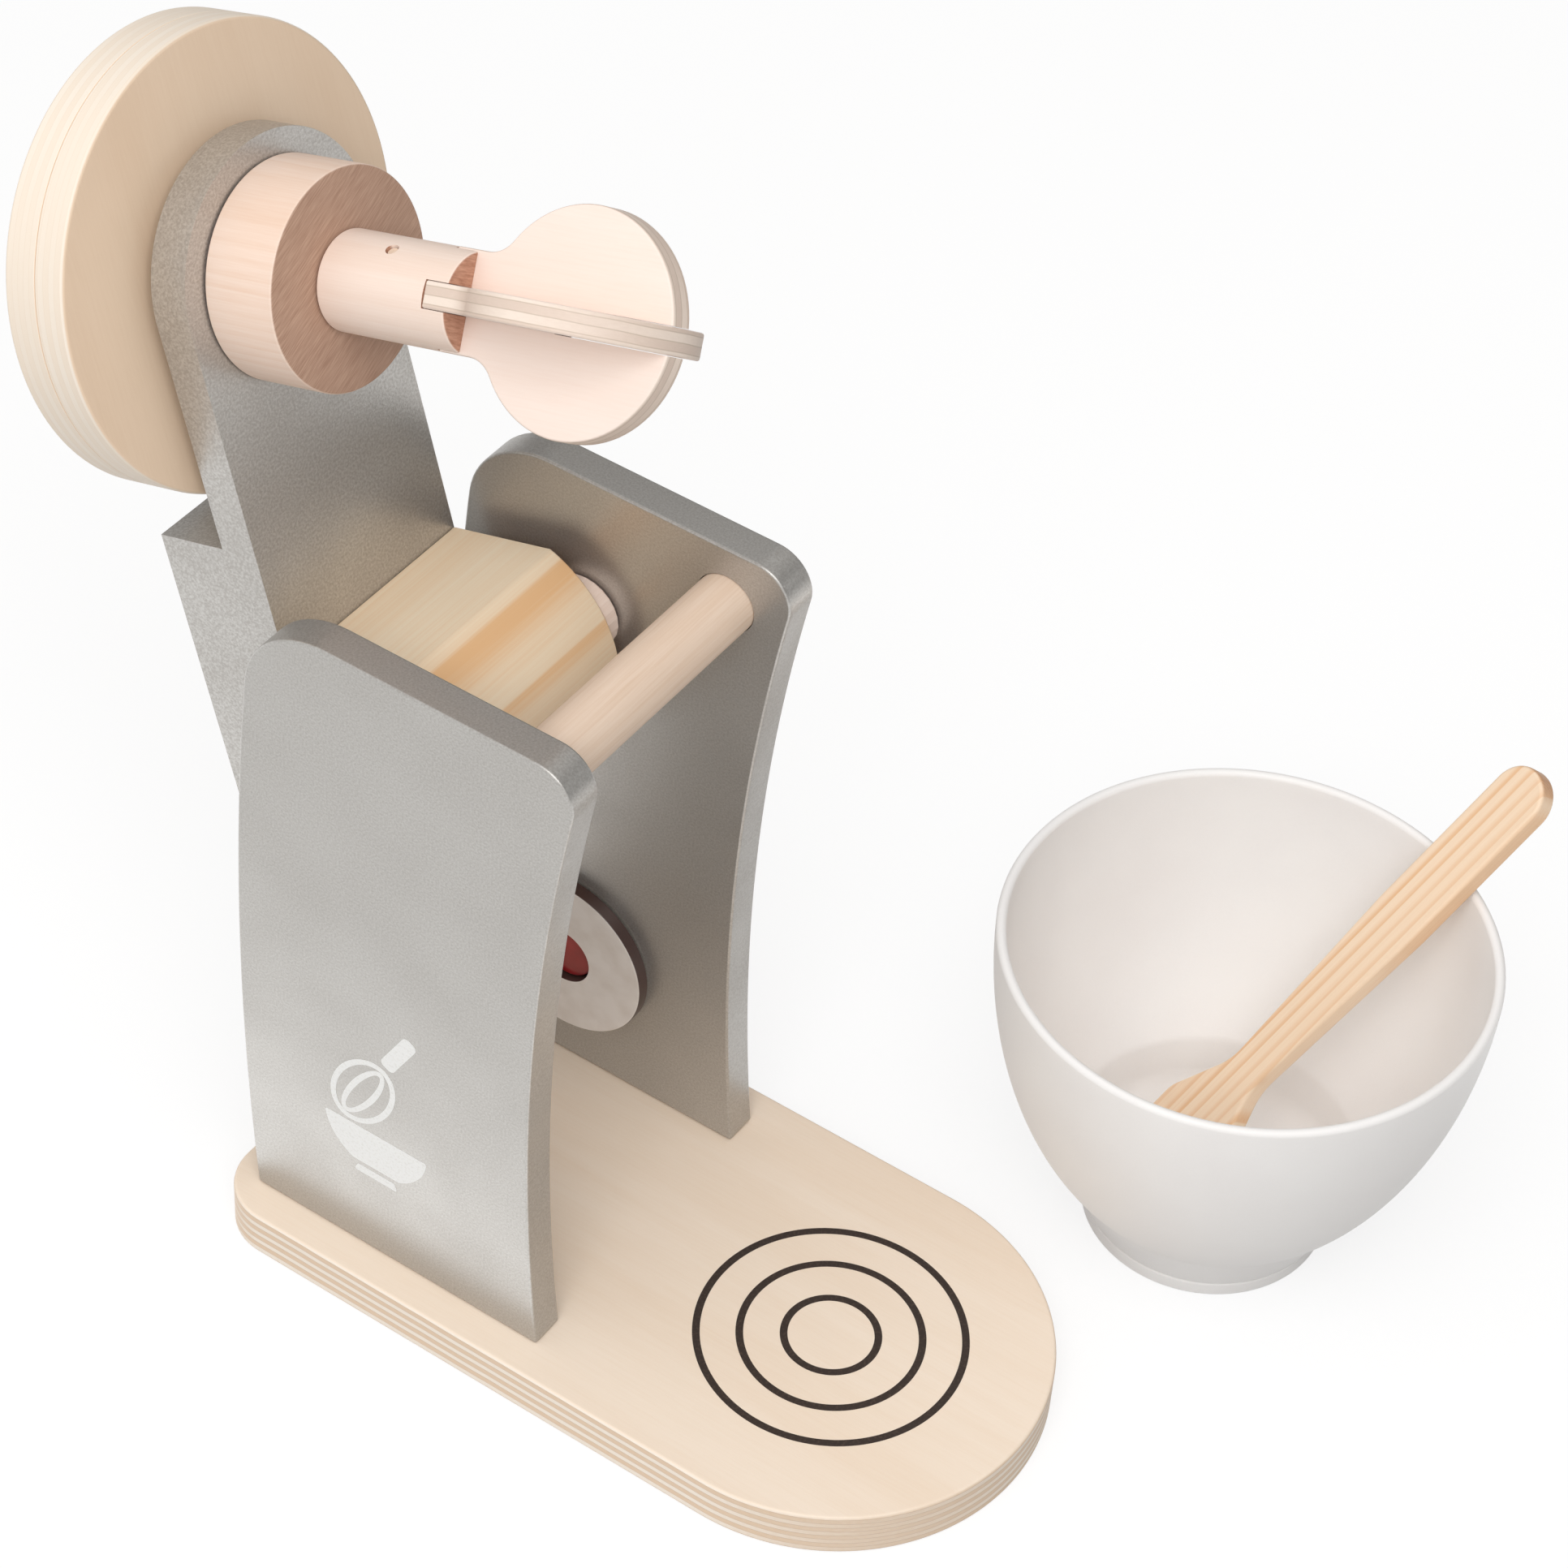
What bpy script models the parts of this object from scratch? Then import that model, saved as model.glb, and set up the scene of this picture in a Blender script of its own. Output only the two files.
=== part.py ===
"""Toy stand mixer of painted plywood, with a tilting head, a turning whisk, a bowl and a spatula.

The frame stands on the floor at Z = 0. X = 0 is the mixer's middle plane, and Y = 0 is the
centre of the rounded front of the base, where the bowl would stand. The front is -Y.
The head is modelled in its raised place. It turns about the pivot dowel until its arm lies on
the front dowel, and there the whisk stands over the centre of the base's round front.
All lengths are in metres.
"""

import math

import bmesh
import bpy
from mathutils import Matrix, Vector

MM = 0.001
COLLECTION_NAME = "toy_stand_mixer"
CUTTER_COLLECTION_NAME = "mixer_cutters"

# Fits
GAP = 0.3 * MM
CUT_OVERRUN = 2 * MM
WELD_DISTANCE = 0.01 * MM

# Smoothness of round shapes, as counts
ROUND_STEPS = 56
MEDIUM_ROUND_STEPS = 40
SMALL_ROUND_STEPS = 24
SCREW_STEPS = 12
CORNER_STEPS = 5
ARC_STEPS = 12
BOWL_ROUND_STEPS = 48
BOWL_STEPS = 7
RIM_STEPS = 4
REACH_STEPS = 60
EDGE_SEGMENTS = 2
CHAMFER = 1
SMOOTH_ANGLE = math.radians(35)
SHARP_EDGE_ANGLE = math.radians(50)

# Base board: plywood, round at the front
BASE_WIDTH = 100 * MM
BASE_THICKNESS = 12 * MM
BASE_PAST_PANELS = 4.6 * MM
BASE_REAR_CORNER = 14 * MM
BASE_EASED_EDGE = 0.8 * MM

# Side panels: upright plywood cheeks with a hollow front edge and a full rear edge
PANEL_THICKNESS = 8.5 * MM
PANEL_CLEAR_WIDTH = 66 * MM
PANEL_HEIGHT = 173.5 * MM
PANEL_WAIST_Y = 54 * MM
PANEL_WAIST_HEIGHT = 65 * MM
PANEL_FRONT_ARC = 560 * MM
PANEL_DEPTH_AT_WAIST = 77.4 * MM
PANEL_BULGE_HEIGHT = 72 * MM
PANEL_REAR_ARC = 850 * MM
PANEL_FRONT_CORNER = 9 * MM
PANEL_REAR_CORNER = 21 * MM
PAINTED_EASED_EDGE = 1.2 * MM

# Dowels between the panels
CROSS_DOWEL_RADIUS = 7 * MM
DOWEL_BORE_DEPTH = 5 * MM
DOWEL_EASED_EDGE = 0.6 * MM
FRONT_DOWEL_SET_BACK = 7 * MM
FRONT_DOWEL_DROP = 14.3 * MM

# Pivot of the head, measured from the panels' waist and top
PIVOT_SET_BACK = 41.8 * MM
PIVOT_DROP = 34.6 * MM
PIVOT_RADIUS = 4.5 * MM
SPACER_RADIUS = 9 * MM
SPACER_EASED_EDGE = 0.5 * MM

# Head arm, in the raised place
RAISED_TILT = math.radians(16.2)
ARM_WIDTH = 56 * MM
ARM_THICKNESS = 9 * MM
ARM_TAIL_BELOW_PIVOT = 44.5 * MM
ARM_TAIL_CORNER = 3 * MM

# Thick plate behind the lower half of the arm
PLATE_THICKNESS = 16.7 * MM
PLATE_CLEAR_OF_WHEEL = 3.3 * MM

# Turned hinge block in front of the arm
BLOCK_RADIUS = 28 * MM
BLOCK_BELOW_PIVOT = 5.2 * MM
BLOCK_CENTRE_OFF_ARM = 10.5 * MM
BLOCK_HALF_FLAT = 23 * MM
BLOCK_EASED_EDGE = 0.7 * MM

# The hidden stop dowel meets the arm's tail this far above its end
STOP_FROM_TAIL_END = 7.3 * MM

# Hand wheel behind the arm: two glued plywood discs
WHEEL_RADIUS = 48.2 * MM
WHEEL_FRONT_DISC = 7.4 * MM
WHEEL_REAR_DISC = 8 * MM
WHEEL_OFF_ARM = 4 * MM
WHEEL_EASED_EDGE = 0.9 * MM
WHEEL_SPACER_RADIUS = 12 * MM
AXLE_RADIUS = 5 * MM

# Hub, shaft and whisk blades
HUB_RADIUS = 22.8 * MM
HUB_THICKNESS = 17.4 * MM
HUB_EASED_EDGE = 0.5 * MM
SHAFT_RADIUS = 10.3 * MM
SHAFT_LENGTH = 32.4 * MM
SHAFT_EASED_EDGE = 0.5 * MM
SHAFT_BORE_DEPTH = 22 * MM
PIN_RADIUS = 1.1 * MM
PIN_FROM_HUB = 15 * MM
PIN_SUNK = 0.6 * MM
BLADE_THICKNESS = 5.4 * MM
BLADE_RADIUS = 22.6 * MM
BLADE_CENTRE_FROM_SHAFT = 26.2 * MM
BLADE_SLOT_DEPTH = 5.5 * MM
BLADE_FILLET = 7 * MM
BLADE_EASED_EDGE = 0.6 * MM
WHISK_PHASE = math.radians(54)

# Control knob on the right panel
KNOB_SET_BACK = 42.5 * MM
KNOB_HEIGHT = 35.3 * MM
KNOB_RADIUS = 18 * MM
KNOB_THICKNESS = 13 * MM
KNOB_CROWN = 2 * MM
KNOB_EDGE_ROUND = 3 * MM
KNOB_AXLE_RADIUS = 7.2 * MM
KNOB_AXLE_SOCKET = 8 * MM
RETAINER_RADIUS = 21.6 * MM
RETAINER_THICKNESS = 3.4 * MM
RETAINER_AXLE_RECESS = 1.6 * MM
RETAINER_EASED_EDGE = 0.4 * MM
KNOB_MARK_RADIUS = 1.8 * MM
KNOB_MARK_DEPTH = 4 * MM
KNOB_MARK_FROM_EDGE = 5.5 * MM

# Countersunk wood screws
SCREW_SHANK_RADIUS = 1.6 * MM
SCREW_HEAD_RADIUS = 3.4 * MM
SCREW_HEAD_DEPTH = 2.2 * MM
SCREW_SUNK = 0.4 * MM
SCREW_RIM = 0.3 * MM
SCREW_TIP = 1.2 * MM
BASE_SCREW_BITE = 14 * MM
BASE_SCREW_FROM_PANEL_END = 14 * MM
HEAD_SCREW_BITE = 10 * MM
HEAD_SCREW_HALF_SPACING = 14 * MM

# Mixing bowl, standing beside the mixer
BOWL_X = 94 * MM
BOWL_Y = -42 * MM
BOWL_HEIGHT = 86 * MM
BOWL_RIM_RADIUS = 56 * MM
BOWL_CURVE_BELOW_FOOT = 1.6 * MM
BOWL_WALL = 2.4 * MM
BOWL_FOOT_RADIUS = 28.5 * MM
BOWL_FOOT_HEIGHT = 3.8 * MM
BOWL_FOOT_WALL = 3.2 * MM
BOWL_FOOT_RECESS = 2.2 * MM
BOWL_FOOT_EASED = 0.6 * MM
BOWL_GROOVE_HEIGHT = 0.7 * MM
BOWL_GROOVE_DEPTH = 0.9 * MM
BOWL_HIP_HEIGHT = 16 * MM
BOWL_FLOOR_HEIGHT = 6 * MM
BOWL_FLOOR_CORNER = 7 * MM

# Spatula, leaning on the bowl's rim
SPATULA_AZIMUTH = math.radians(-33)
SPATULA_SLOPE = math.radians(50)
SPATULA_OFF_CENTRE = 3.4 * MM
SPATULA_THICKNESS = 5 * MM
SPATULA_GRIP_WIDTH = 14.8 * MM
SPATULA_NECK_WIDTH = 10 * MM
SPATULA_BLADE_WIDTH = 24 * MM
SPATULA_PAST_RIM = 31 * MM
SPATULA_BLADE_LENGTH = 37 * MM
SPATULA_SHOULDER_LENGTH = 16 * MM
SPATULA_GRIP_LENGTH = 46 * MM
SPATULA_TIP_CORNER = 7 * MM
SPATULA_EASED_EDGE = 1 * MM

# Colours (linear), roughness and metallic value of each finish
FINISHES = {
    "birch_plywood": ((0.86, 0.70, 0.50), 0.55, 0.0),
    "silver_paint": ((0.50, 0.49, 0.48), 0.40, 0.8),
    "turned_beech": ((0.72, 0.48, 0.35), 0.60, 0.0),
    "pale_basswood": ((0.83, 0.64, 0.52), 0.60, 0.0),
    "clear_pine": ((0.84, 0.60, 0.36), 0.55, 0.0),
    "ramin_dowel": ((0.78, 0.57, 0.44), 0.60, 0.0),
    "red_gloss": ((0.45, 0.02, 0.03), 0.25, 0.0),
    "white_gloss": ((0.80, 0.77, 0.76), 0.35, 0.0),
    "zinc_plate": ((0.62, 0.61, 0.58), 0.35, 1.0),
    "white_bowl": ((0.85, 0.83, 0.82), 0.50, 0.0),
}

# Places worked out from the sizes above
PANEL_BOTTOM = BASE_THICKNESS + GAP
PANEL_TOP = PANEL_BOTTOM + PANEL_HEIGHT
PANEL_INNER_X = PANEL_CLEAR_WIDTH / 2
PANEL_OUTER_X = PANEL_INNER_X + PANEL_THICKNESS
PANEL_REAR_Y = PANEL_WAIST_Y + PANEL_DEPTH_AT_WAIST
BASE_REACH_BACK = PANEL_REAR_Y + BASE_PAST_PANELS
FRONT_DOWEL_Y = PANEL_WAIST_Y + FRONT_DOWEL_SET_BACK
FRONT_DOWEL_Z = PANEL_TOP - FRONT_DOWEL_DROP
PIVOT_Y = PANEL_WAIST_Y + PIVOT_SET_BACK
PIVOT_Z = PANEL_TOP - PIVOT_DROP
KNOB_Y = PANEL_WAIST_Y + KNOB_SET_BACK
KNOB_Z = PANEL_BOTTOM + KNOB_HEIGHT

# The head's own frame has its origin on the pivot, Y up the arm and Z out of the arm's front.
# The whisk is as far up the arm as the pivot is behind the bowl's place, so that it hangs over
# that place when the head is down, and the arm's front then lies on the front dowel.
WHISK_UP_ARM = PIVOT_Y
ARM_FACE = PIVOT_Z - (FRONT_DOWEL_Z + CROSS_DOWEL_RADIUS + GAP)
ARM_BACK = ARM_FACE - ARM_THICKNESS
PLATE_FRONT = ARM_BACK - GAP
PLATE_BACK = PLATE_FRONT - PLATE_THICKNESS
WHEEL_FRONT = ARM_BACK - WHEEL_OFF_ARM
WHEEL_JOINT = WHEEL_FRONT - WHEEL_FRONT_DISC
WHEEL_BACK = WHEEL_JOINT - GAP - WHEEL_REAR_DISC
HUB_BACK = ARM_FACE + GAP
HUB_FRONT = HUB_BACK + HUB_THICKNESS
SHAFT_BACK = HUB_FRONT + GAP
SHAFT_FRONT = SHAFT_BACK + SHAFT_LENGTH
AXLE_FRONT = SHAFT_BACK + SHAFT_BORE_DEPTH - GAP
PLATE_TOP = WHISK_UP_ARM - WHEEL_RADIUS - PLATE_CLEAR_OF_WHEEL
BLOCK_WIDTH = ARM_WIDTH
BOWL_CURVE_DEPTH = BOWL_HEIGHT + BOWL_CURVE_BELOW_FOOT


def make_collection(name):
    """Return a new collection linked to the scene."""
    collection = bpy.data.collections.new(name)
    bpy.context.scene.collection.children.link(collection)
    return collection


def make_material(name):
    """Return a Principled material for the finish of this name, made once."""
    material = bpy.data.materials.get(name)
    if material:
        return material
    colour, roughness, metallic = FINISHES[name]
    material = bpy.data.materials.new(name)
    material.use_nodes = True
    shader = material.node_tree.nodes["Principled BSDF"]
    shader.inputs["Base Color"].default_value = (*colour, 1)
    shader.inputs["Roughness"].default_value = roughness
    shader.inputs["Metallic"].default_value = metallic
    material.diffuse_color = (*colour, 1)
    return material


def make_axis(name, place, parent=None):
    """Return an empty that marks a joint's axis, at a place under its parent."""
    axis = bpy.data.objects.new(name, None)
    axis.empty_display_size = PIVOT_RADIUS
    parts.objects.link(axis)
    axis.parent = parent
    axis.matrix_basis = place
    return axis


def move(x=0.0, y=0.0, z=0.0):
    """Return a translation."""
    return Matrix.Translation((x, y, z))


def turn(angle, axis):
    """Return a rotation about one axis of the local frame."""
    return Matrix.Rotation(angle, 4, axis)


# Turns local Z, the axis of every turned and flat piece, to +X, with local X going to +Y
ALONG_X = Matrix(((0, 0, 1, 0), (1, 0, 0, 0), (0, 1, 0, 0), (0, 0, 0, 1)))


def rounded(points, radii, steps=CORNER_STEPS, closed=True):
    """Return the outline with an arc of its own radius at each corner."""
    result = []
    count = len(points)
    for index, (point, radius) in enumerate(zip(points, radii)):
        corner = Vector(point)
        at_end = not closed and index in (0, count - 1)
        if radius <= 0 or at_end:
            result.append(corner)
            continue
        before = Vector(points[index - 1]) - corner
        after = Vector(points[(index + 1) % count]) - corner
        half = before.angle(after) / 2
        to_centre = (before.normalized() + after.normalized()).normalized()
        centre = corner + to_centre * (radius / math.sin(half))
        start = corner + before.normalized() * (radius / math.tan(half)) - centre
        end = corner + after.normalized() * (radius / math.tan(half)) - centre
        sweep = start.angle_signed(end)
        for step in range(steps + 1):
            turned = start.copy()
            turned.rotate(Matrix.Rotation(-sweep * step / steps, 2))
            result.append(centre + turned)
    return [tuple(point) for point in result]


def arc(centre, radius, start, end, steps=ARC_STEPS):
    """Return points along an arc between two angles, its ends included."""
    points = []
    for step in range(steps + 1):
        angle = start + (end - start) * step / steps
        points.append((centre[0] + radius * math.cos(angle), centre[1] + radius * math.sin(angle)))
    return points


def finish_object(thing, finish, collection):
    """Link an object, give it its material and shade its round faces smooth."""
    collection.objects.link(thing)
    if finish:
        thing.data.materials.append(make_material(finish))
    thing.data.shade_smooth()
    thing.data.set_sharp_from_angle(angle=SMOOTH_ANGLE)


def place_object(thing, place, parent):
    """Put an object at its place in its parent's frame."""
    thing.parent = parent
    thing.matrix_basis = place


def add_bevel(thing, width, segments=EDGE_SEGMENTS):
    """Ease the sharp edges of a piece."""
    bevel = thing.modifiers.new("eased_edges", "BEVEL")
    bevel.width = width
    bevel.segments = segments
    bevel.limit_method = "ANGLE"
    bevel.angle_limit = SHARP_EDGE_ANGLE
    bevel.use_clamp_overlap = True


def flat_piece(name, outline, low, high, finish, place, parent=None, eased=0.0):
    """Return a piece cut from a board: an outline in local XY, from one height to another."""
    curve = bpy.data.curves.new(name + "_outline", "CURVE")
    curve.dimensions = "2D"
    curve.fill_mode = "BOTH"
    curve.extrude = (high - low) / 2
    spline = curve.splines.new("POLY")
    spline.points.add(len(outline) - 1)
    for point, (x, y) in zip(spline.points, outline):
        point.co = (x, y, 0, 1)
    spline.use_cyclic_u = True
    guide = bpy.data.objects.new(name + "_guide", curve)
    guide.location.z = (high + low) / 2
    parts.objects.link(guide)
    bpy.context.view_layer.update()
    mesh = bpy.data.meshes.new_from_object(guide.evaluated_get(bpy.context.evaluated_depsgraph_get()))
    mesh.name = name
    mesh.transform(guide.matrix_world)
    bpy.data.objects.remove(guide)
    bpy.data.curves.remove(curve)
    welded = bmesh.new()
    welded.from_mesh(mesh)
    bmesh.ops.remove_doubles(welded, verts=welded.verts, dist=WELD_DISTANCE)
    bmesh.ops.recalc_face_normals(welded, faces=welded.faces)
    welded.to_mesh(mesh)
    welded.free()
    mesh.materials.clear()
    thing = bpy.data.objects.new(name, mesh)
    finish_object(thing, finish, parts)
    place_object(thing, place, parent)
    if eased > 0:
        add_bevel(thing, eased)
    return thing


def turned_piece(name, profile, finish, place, parent=None, steps=ROUND_STEPS):
    """Return a piece turned about local Z, from a profile that runs down its outer side."""
    mesh = bpy.data.meshes.new(name)
    closed = profile[0][0] > 0 and profile[-1][0] > 0
    last = len(profile) - 1
    edges = [(index, index + 1) for index in range(last)]
    if closed:
        edges.append((last, 0))
    mesh.from_pydata([(radius, 0, height) for radius, height in profile], edges, [])
    thing = bpy.data.objects.new(name, mesh)
    finish_object(thing, finish, parts)
    place_object(thing, place, parent)
    screw = thing.modifiers.new("turned", "SCREW")
    screw.axis = "Z"
    screw.angle = math.tau
    screw.steps = steps
    screw.render_steps = steps
    screw.use_merge_vertices = True
    screw.merge_threshold = WELD_DISTANCE
    screw.use_smooth_shade = True
    return thing


def rod_profile(radius, low, high, eased):
    """Return the profile of a solid rod with eased ends, top to bottom."""
    points = [(0, high), (radius, high), (radius, low), (0, low)]
    return rounded(points, [0, eased, eased, 0], steps=CHAMFER, closed=False)


def ring_profile(outer, inner, low, high, eased):
    """Return the profile of a bored disc with eased outer edges, outer side first."""
    points = [(inner, high), (outer, high), (outer, low), (inner, low)]
    return rounded(points, [0, eased, eased, 0], steps=CHAMFER, closed=False)


def bore_cutter(name, radius, low, high, place, parent=None, steps=SMALL_ROUND_STEPS):
    """Return a round cutter along local Z, from one height to another."""
    mesh = bpy.data.meshes.new(name)
    tool = bmesh.new()
    bmesh.ops.create_cone(tool, cap_ends=True, segments=steps, radius1=radius, radius2=radius, depth=high - low)
    bmesh.ops.translate(tool, verts=tool.verts, vec=(0, 0, (high + low) / 2))
    tool.to_mesh(mesh)
    tool.free()
    return finish_cutter(name, mesh, place, parent)


def box_cutter(name, low, high, place, parent=None):
    """Return a box cutter between two corners."""
    mesh = bpy.data.meshes.new(name)
    tool = bmesh.new()
    bmesh.ops.create_cube(tool, size=1)
    low = Vector(low)
    high = Vector(high)
    bmesh.ops.scale(tool, verts=tool.verts, vec=high - low)
    bmesh.ops.translate(tool, verts=tool.verts, vec=(high + low) / 2)
    tool.to_mesh(mesh)
    tool.free()
    return finish_cutter(name, mesh, place, parent)


def finish_cutter(name, mesh, place, parent):
    """Link a cutter to its own collection, out of the render."""
    cutter = bpy.data.objects.new(name, mesh)
    cutters.objects.link(cutter)
    cutter.display_type = "WIRE"
    cutter.hide_render = True
    place_object(cutter, place, parent)
    return cutter


def cut(thing, cutter):
    """Cut one piece with a cutter."""
    boolean = thing.modifiers.new(cutter.name, "BOOLEAN")
    boolean.operation = "DIFFERENCE"
    boolean.solver = "EXACT"
    boolean.object = cutter


def edge_arc_y(middle_y, middle_height, radius, height):
    """Return how far back a panel edge lies at a height, on an arc that bulges at its middle."""
    return middle_y + radius - math.sqrt(radius**2 - (height - middle_height) ** 2)


def panel_outline():
    """Return a side panel's outline: Y along the base, then height above the panel's foot."""
    front = []
    rear = []
    for step in range(ARC_STEPS + 1):
        height = PANEL_HEIGHT * step / ARC_STEPS
        drop = edge_arc_y(0, PANEL_WAIST_HEIGHT, PANEL_FRONT_ARC, height)
        front.append((PANEL_WAIST_Y - drop, height))
        drop = edge_arc_y(0, PANEL_BULGE_HEIGHT, PANEL_REAR_ARC, height)
        rear.append((PANEL_REAR_Y - drop, height))
    corners = [front[0], rear[0]]
    rear_side = [point for point in rear[1:-1] if point[1] < PANEL_HEIGHT - PANEL_REAR_CORNER]
    front_side = [point for point in front[1:-1] if point[1] < PANEL_HEIGHT - PANEL_FRONT_CORNER]
    front_side.reverse()
    outline = corners + rear_side + [rear[-1], front[-1]] + front_side
    radii = [0] * len(outline)
    radii[len(corners) + len(rear_side)] = PANEL_REAR_CORNER
    radii[len(corners) + len(rear_side) + 1] = PANEL_FRONT_CORNER
    return rounded(outline, radii)


def make_base():
    """Make the base board: straight sides, a half round front and rounded rear corners."""
    half = BASE_WIDTH / 2
    rear = [(half, BASE_REACH_BACK), (-half, BASE_REACH_BACK)]
    front = arc((0, 0), half, math.pi, math.tau, steps=ROUND_STEPS // 2)
    outline = rounded(rear + front, [BASE_REAR_CORNER] * 2 + [0] * len(front))
    base = flat_piece("base_board", outline, 0, BASE_THICKNESS, "birch_plywood", move(), eased=BASE_EASED_EDGE)
    for index, (x, y) in enumerate(base_screw_places()):
        shank = bore_cutter(
            f"base_screw_bore_{index}", SCREW_SHANK_RADIUS + GAP, -CUT_OVERRUN, BASE_THICKNESS + CUT_OVERRUN,
            move(x, y), steps=SCREW_STEPS,
        )
        cut(base, shank)
        cut(base, countersink(f"base_countersink_{index}", move(x, y)))


def base_screw_places():
    """Return the place of each base screw: two under each panel, near its ends."""
    x = PANEL_INNER_X + PANEL_THICKNESS / 2
    foot_y = PANEL_WAIST_Y - edge_arc_y(0, PANEL_WAIST_HEIGHT, PANEL_FRONT_ARC, 0)
    front = foot_y + BASE_SCREW_FROM_PANEL_END
    rear = PANEL_REAR_Y - BASE_SCREW_FROM_PANEL_END
    return [(-x, front), (-x, rear), (x, front), (x, rear)]


def countersink(name, place, parent=None):
    """Return a cutter for a sunk screw head that enters from local -Z."""
    mouth = SCREW_HEAD_RADIUS + GAP
    slope = (SCREW_HEAD_RADIUS - SCREW_SHANK_RADIUS) / SCREW_HEAD_DEPTH
    depth = SCREW_SUNK + SCREW_RIM + SCREW_HEAD_DEPTH + GAP
    mesh = bpy.data.meshes.new(name)
    tool = bmesh.new()
    bmesh.ops.create_cone(
        tool, cap_ends=True, segments=SCREW_STEPS, radius1=mouth,
        radius2=mouth - slope * SCREW_HEAD_DEPTH, depth=SCREW_HEAD_DEPTH,
    )
    bmesh.ops.translate(tool, verts=tool.verts, vec=(0, 0, depth - SCREW_HEAD_DEPTH / 2))
    bottom = [vert for vert in tool.verts if vert.co.z < depth - SCREW_HEAD_DEPTH / 2]
    flat = [face for face in tool.faces if all(vert in bottom for vert in face.verts)]
    grown = bmesh.ops.extrude_face_region(tool, geom=flat)
    new_verts = [item for item in grown["geom"] if isinstance(item, bmesh.types.BMVert)]
    bmesh.ops.delete(tool, geom=flat, context="FACES")
    bmesh.ops.translate(tool, verts=new_verts, vec=(0, 0, SCREW_HEAD_DEPTH - depth - CUT_OVERRUN))
    bmesh.ops.recalc_face_normals(tool, faces=tool.faces)
    tool.to_mesh(mesh)
    tool.free()
    return finish_cutter(name, mesh, place, parent)


def make_screw(name, length, place, parent=None):
    """Make a countersunk screw whose head looks towards local -Z."""
    rim = SCREW_SUNK + SCREW_RIM
    profile = [
        (0, length),
        (SCREW_SHANK_RADIUS / 2, length - SCREW_TIP / 2),
        (SCREW_SHANK_RADIUS, length - SCREW_TIP),
        (SCREW_SHANK_RADIUS, rim + SCREW_HEAD_DEPTH),
        (SCREW_HEAD_RADIUS, rim),
        (SCREW_HEAD_RADIUS, SCREW_SUNK),
        (0, SCREW_SUNK),
    ]
    turned_piece(name, profile, "zinc_plate", place, parent, steps=SCREW_STEPS)


def make_side_panel(name, side):
    """Make one side panel with its dowel bores, and on the right panel the knob's bore."""
    inner = side * PANEL_INNER_X
    outer = side * PANEL_OUTER_X
    place = move(z=PANEL_BOTTOM) @ ALONG_X
    panel = flat_piece(
        name, panel_outline(), min(inner, outer), max(inner, outer), "silver_paint", place,
        eased=PAINTED_EASED_EDGE,
    )
    ends = sorted((inner - side * CUT_OVERRUN, inner + side * DOWEL_BORE_DEPTH))
    bores = [
        ("front_dowel", FRONT_DOWEL_Y, FRONT_DOWEL_Z, CROSS_DOWEL_RADIUS),
        ("stop_dowel", *stop_dowel_place(), CROSS_DOWEL_RADIUS),
        ("pivot", PIVOT_Y, PIVOT_Z, PIVOT_RADIUS),
    ]
    for label, y, z, radius in bores:
        bore = bore_cutter(f"{name}_{label}_bore", radius + GAP, *ends, move(0, y, z) @ ALONG_X)
        cut(panel, bore)
    if side > 0:
        through = (PANEL_INNER_X - CUT_OVERRUN, PANEL_OUTER_X + CUT_OVERRUN)
        place = move(0, KNOB_Y, KNOB_Z) @ ALONG_X
        cut(panel, bore_cutter(f"{name}_knob_bore", KNOB_AXLE_RADIUS + GAP, *through, place))
    screws = [(x, y) for x, y in base_screw_places() if x * side > 0]
    for index, (x, y) in enumerate(screws):
        hole = bore_cutter(
            f"{name}_screw_bore_{index}", SCREW_SHANK_RADIUS + GAP, BASE_THICKNESS - CUT_OVERRUN,
            PANEL_BOTTOM + BASE_SCREW_BITE + GAP, move(x, y), steps=SCREW_STEPS,
        )
        cut(panel, hole)


def head_place_in_world(up, out):
    """Return the world Y and Z of a place in the raised head's own frame."""
    y = PIVOT_Y + up * math.sin(RAISED_TILT) - out * math.cos(RAISED_TILT)
    z = PIVOT_Z + up * math.cos(RAISED_TILT) + out * math.sin(RAISED_TILT)
    return y, z


def stop_dowel_place():
    """Return where the hidden dowel stands that the arm's tail leans on when the head is up."""
    up = STOP_FROM_TAIL_END - ARM_TAIL_BELOW_PIVOT
    return head_place_in_world(up, ARM_FACE + GAP + CROSS_DOWEL_RADIUS)


def make_cross_dowels():
    """Make the two dowels that hold the panels apart and stop the head at each end."""
    end = PANEL_INNER_X + DOWEL_BORE_DEPTH - GAP
    profile = rod_profile(CROSS_DOWEL_RADIUS, -end, end, DOWEL_EASED_EDGE)
    front = move(0, FRONT_DOWEL_Y, FRONT_DOWEL_Z) @ ALONG_X
    turned_piece("front_cross_dowel", profile, "ramin_dowel", front, steps=SMALL_ROUND_STEPS)
    rear = move(0, *stop_dowel_place()) @ ALONG_X
    turned_piece("rear_stop_dowel", profile, "ramin_dowel", rear, steps=SMALL_ROUND_STEPS)


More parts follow.
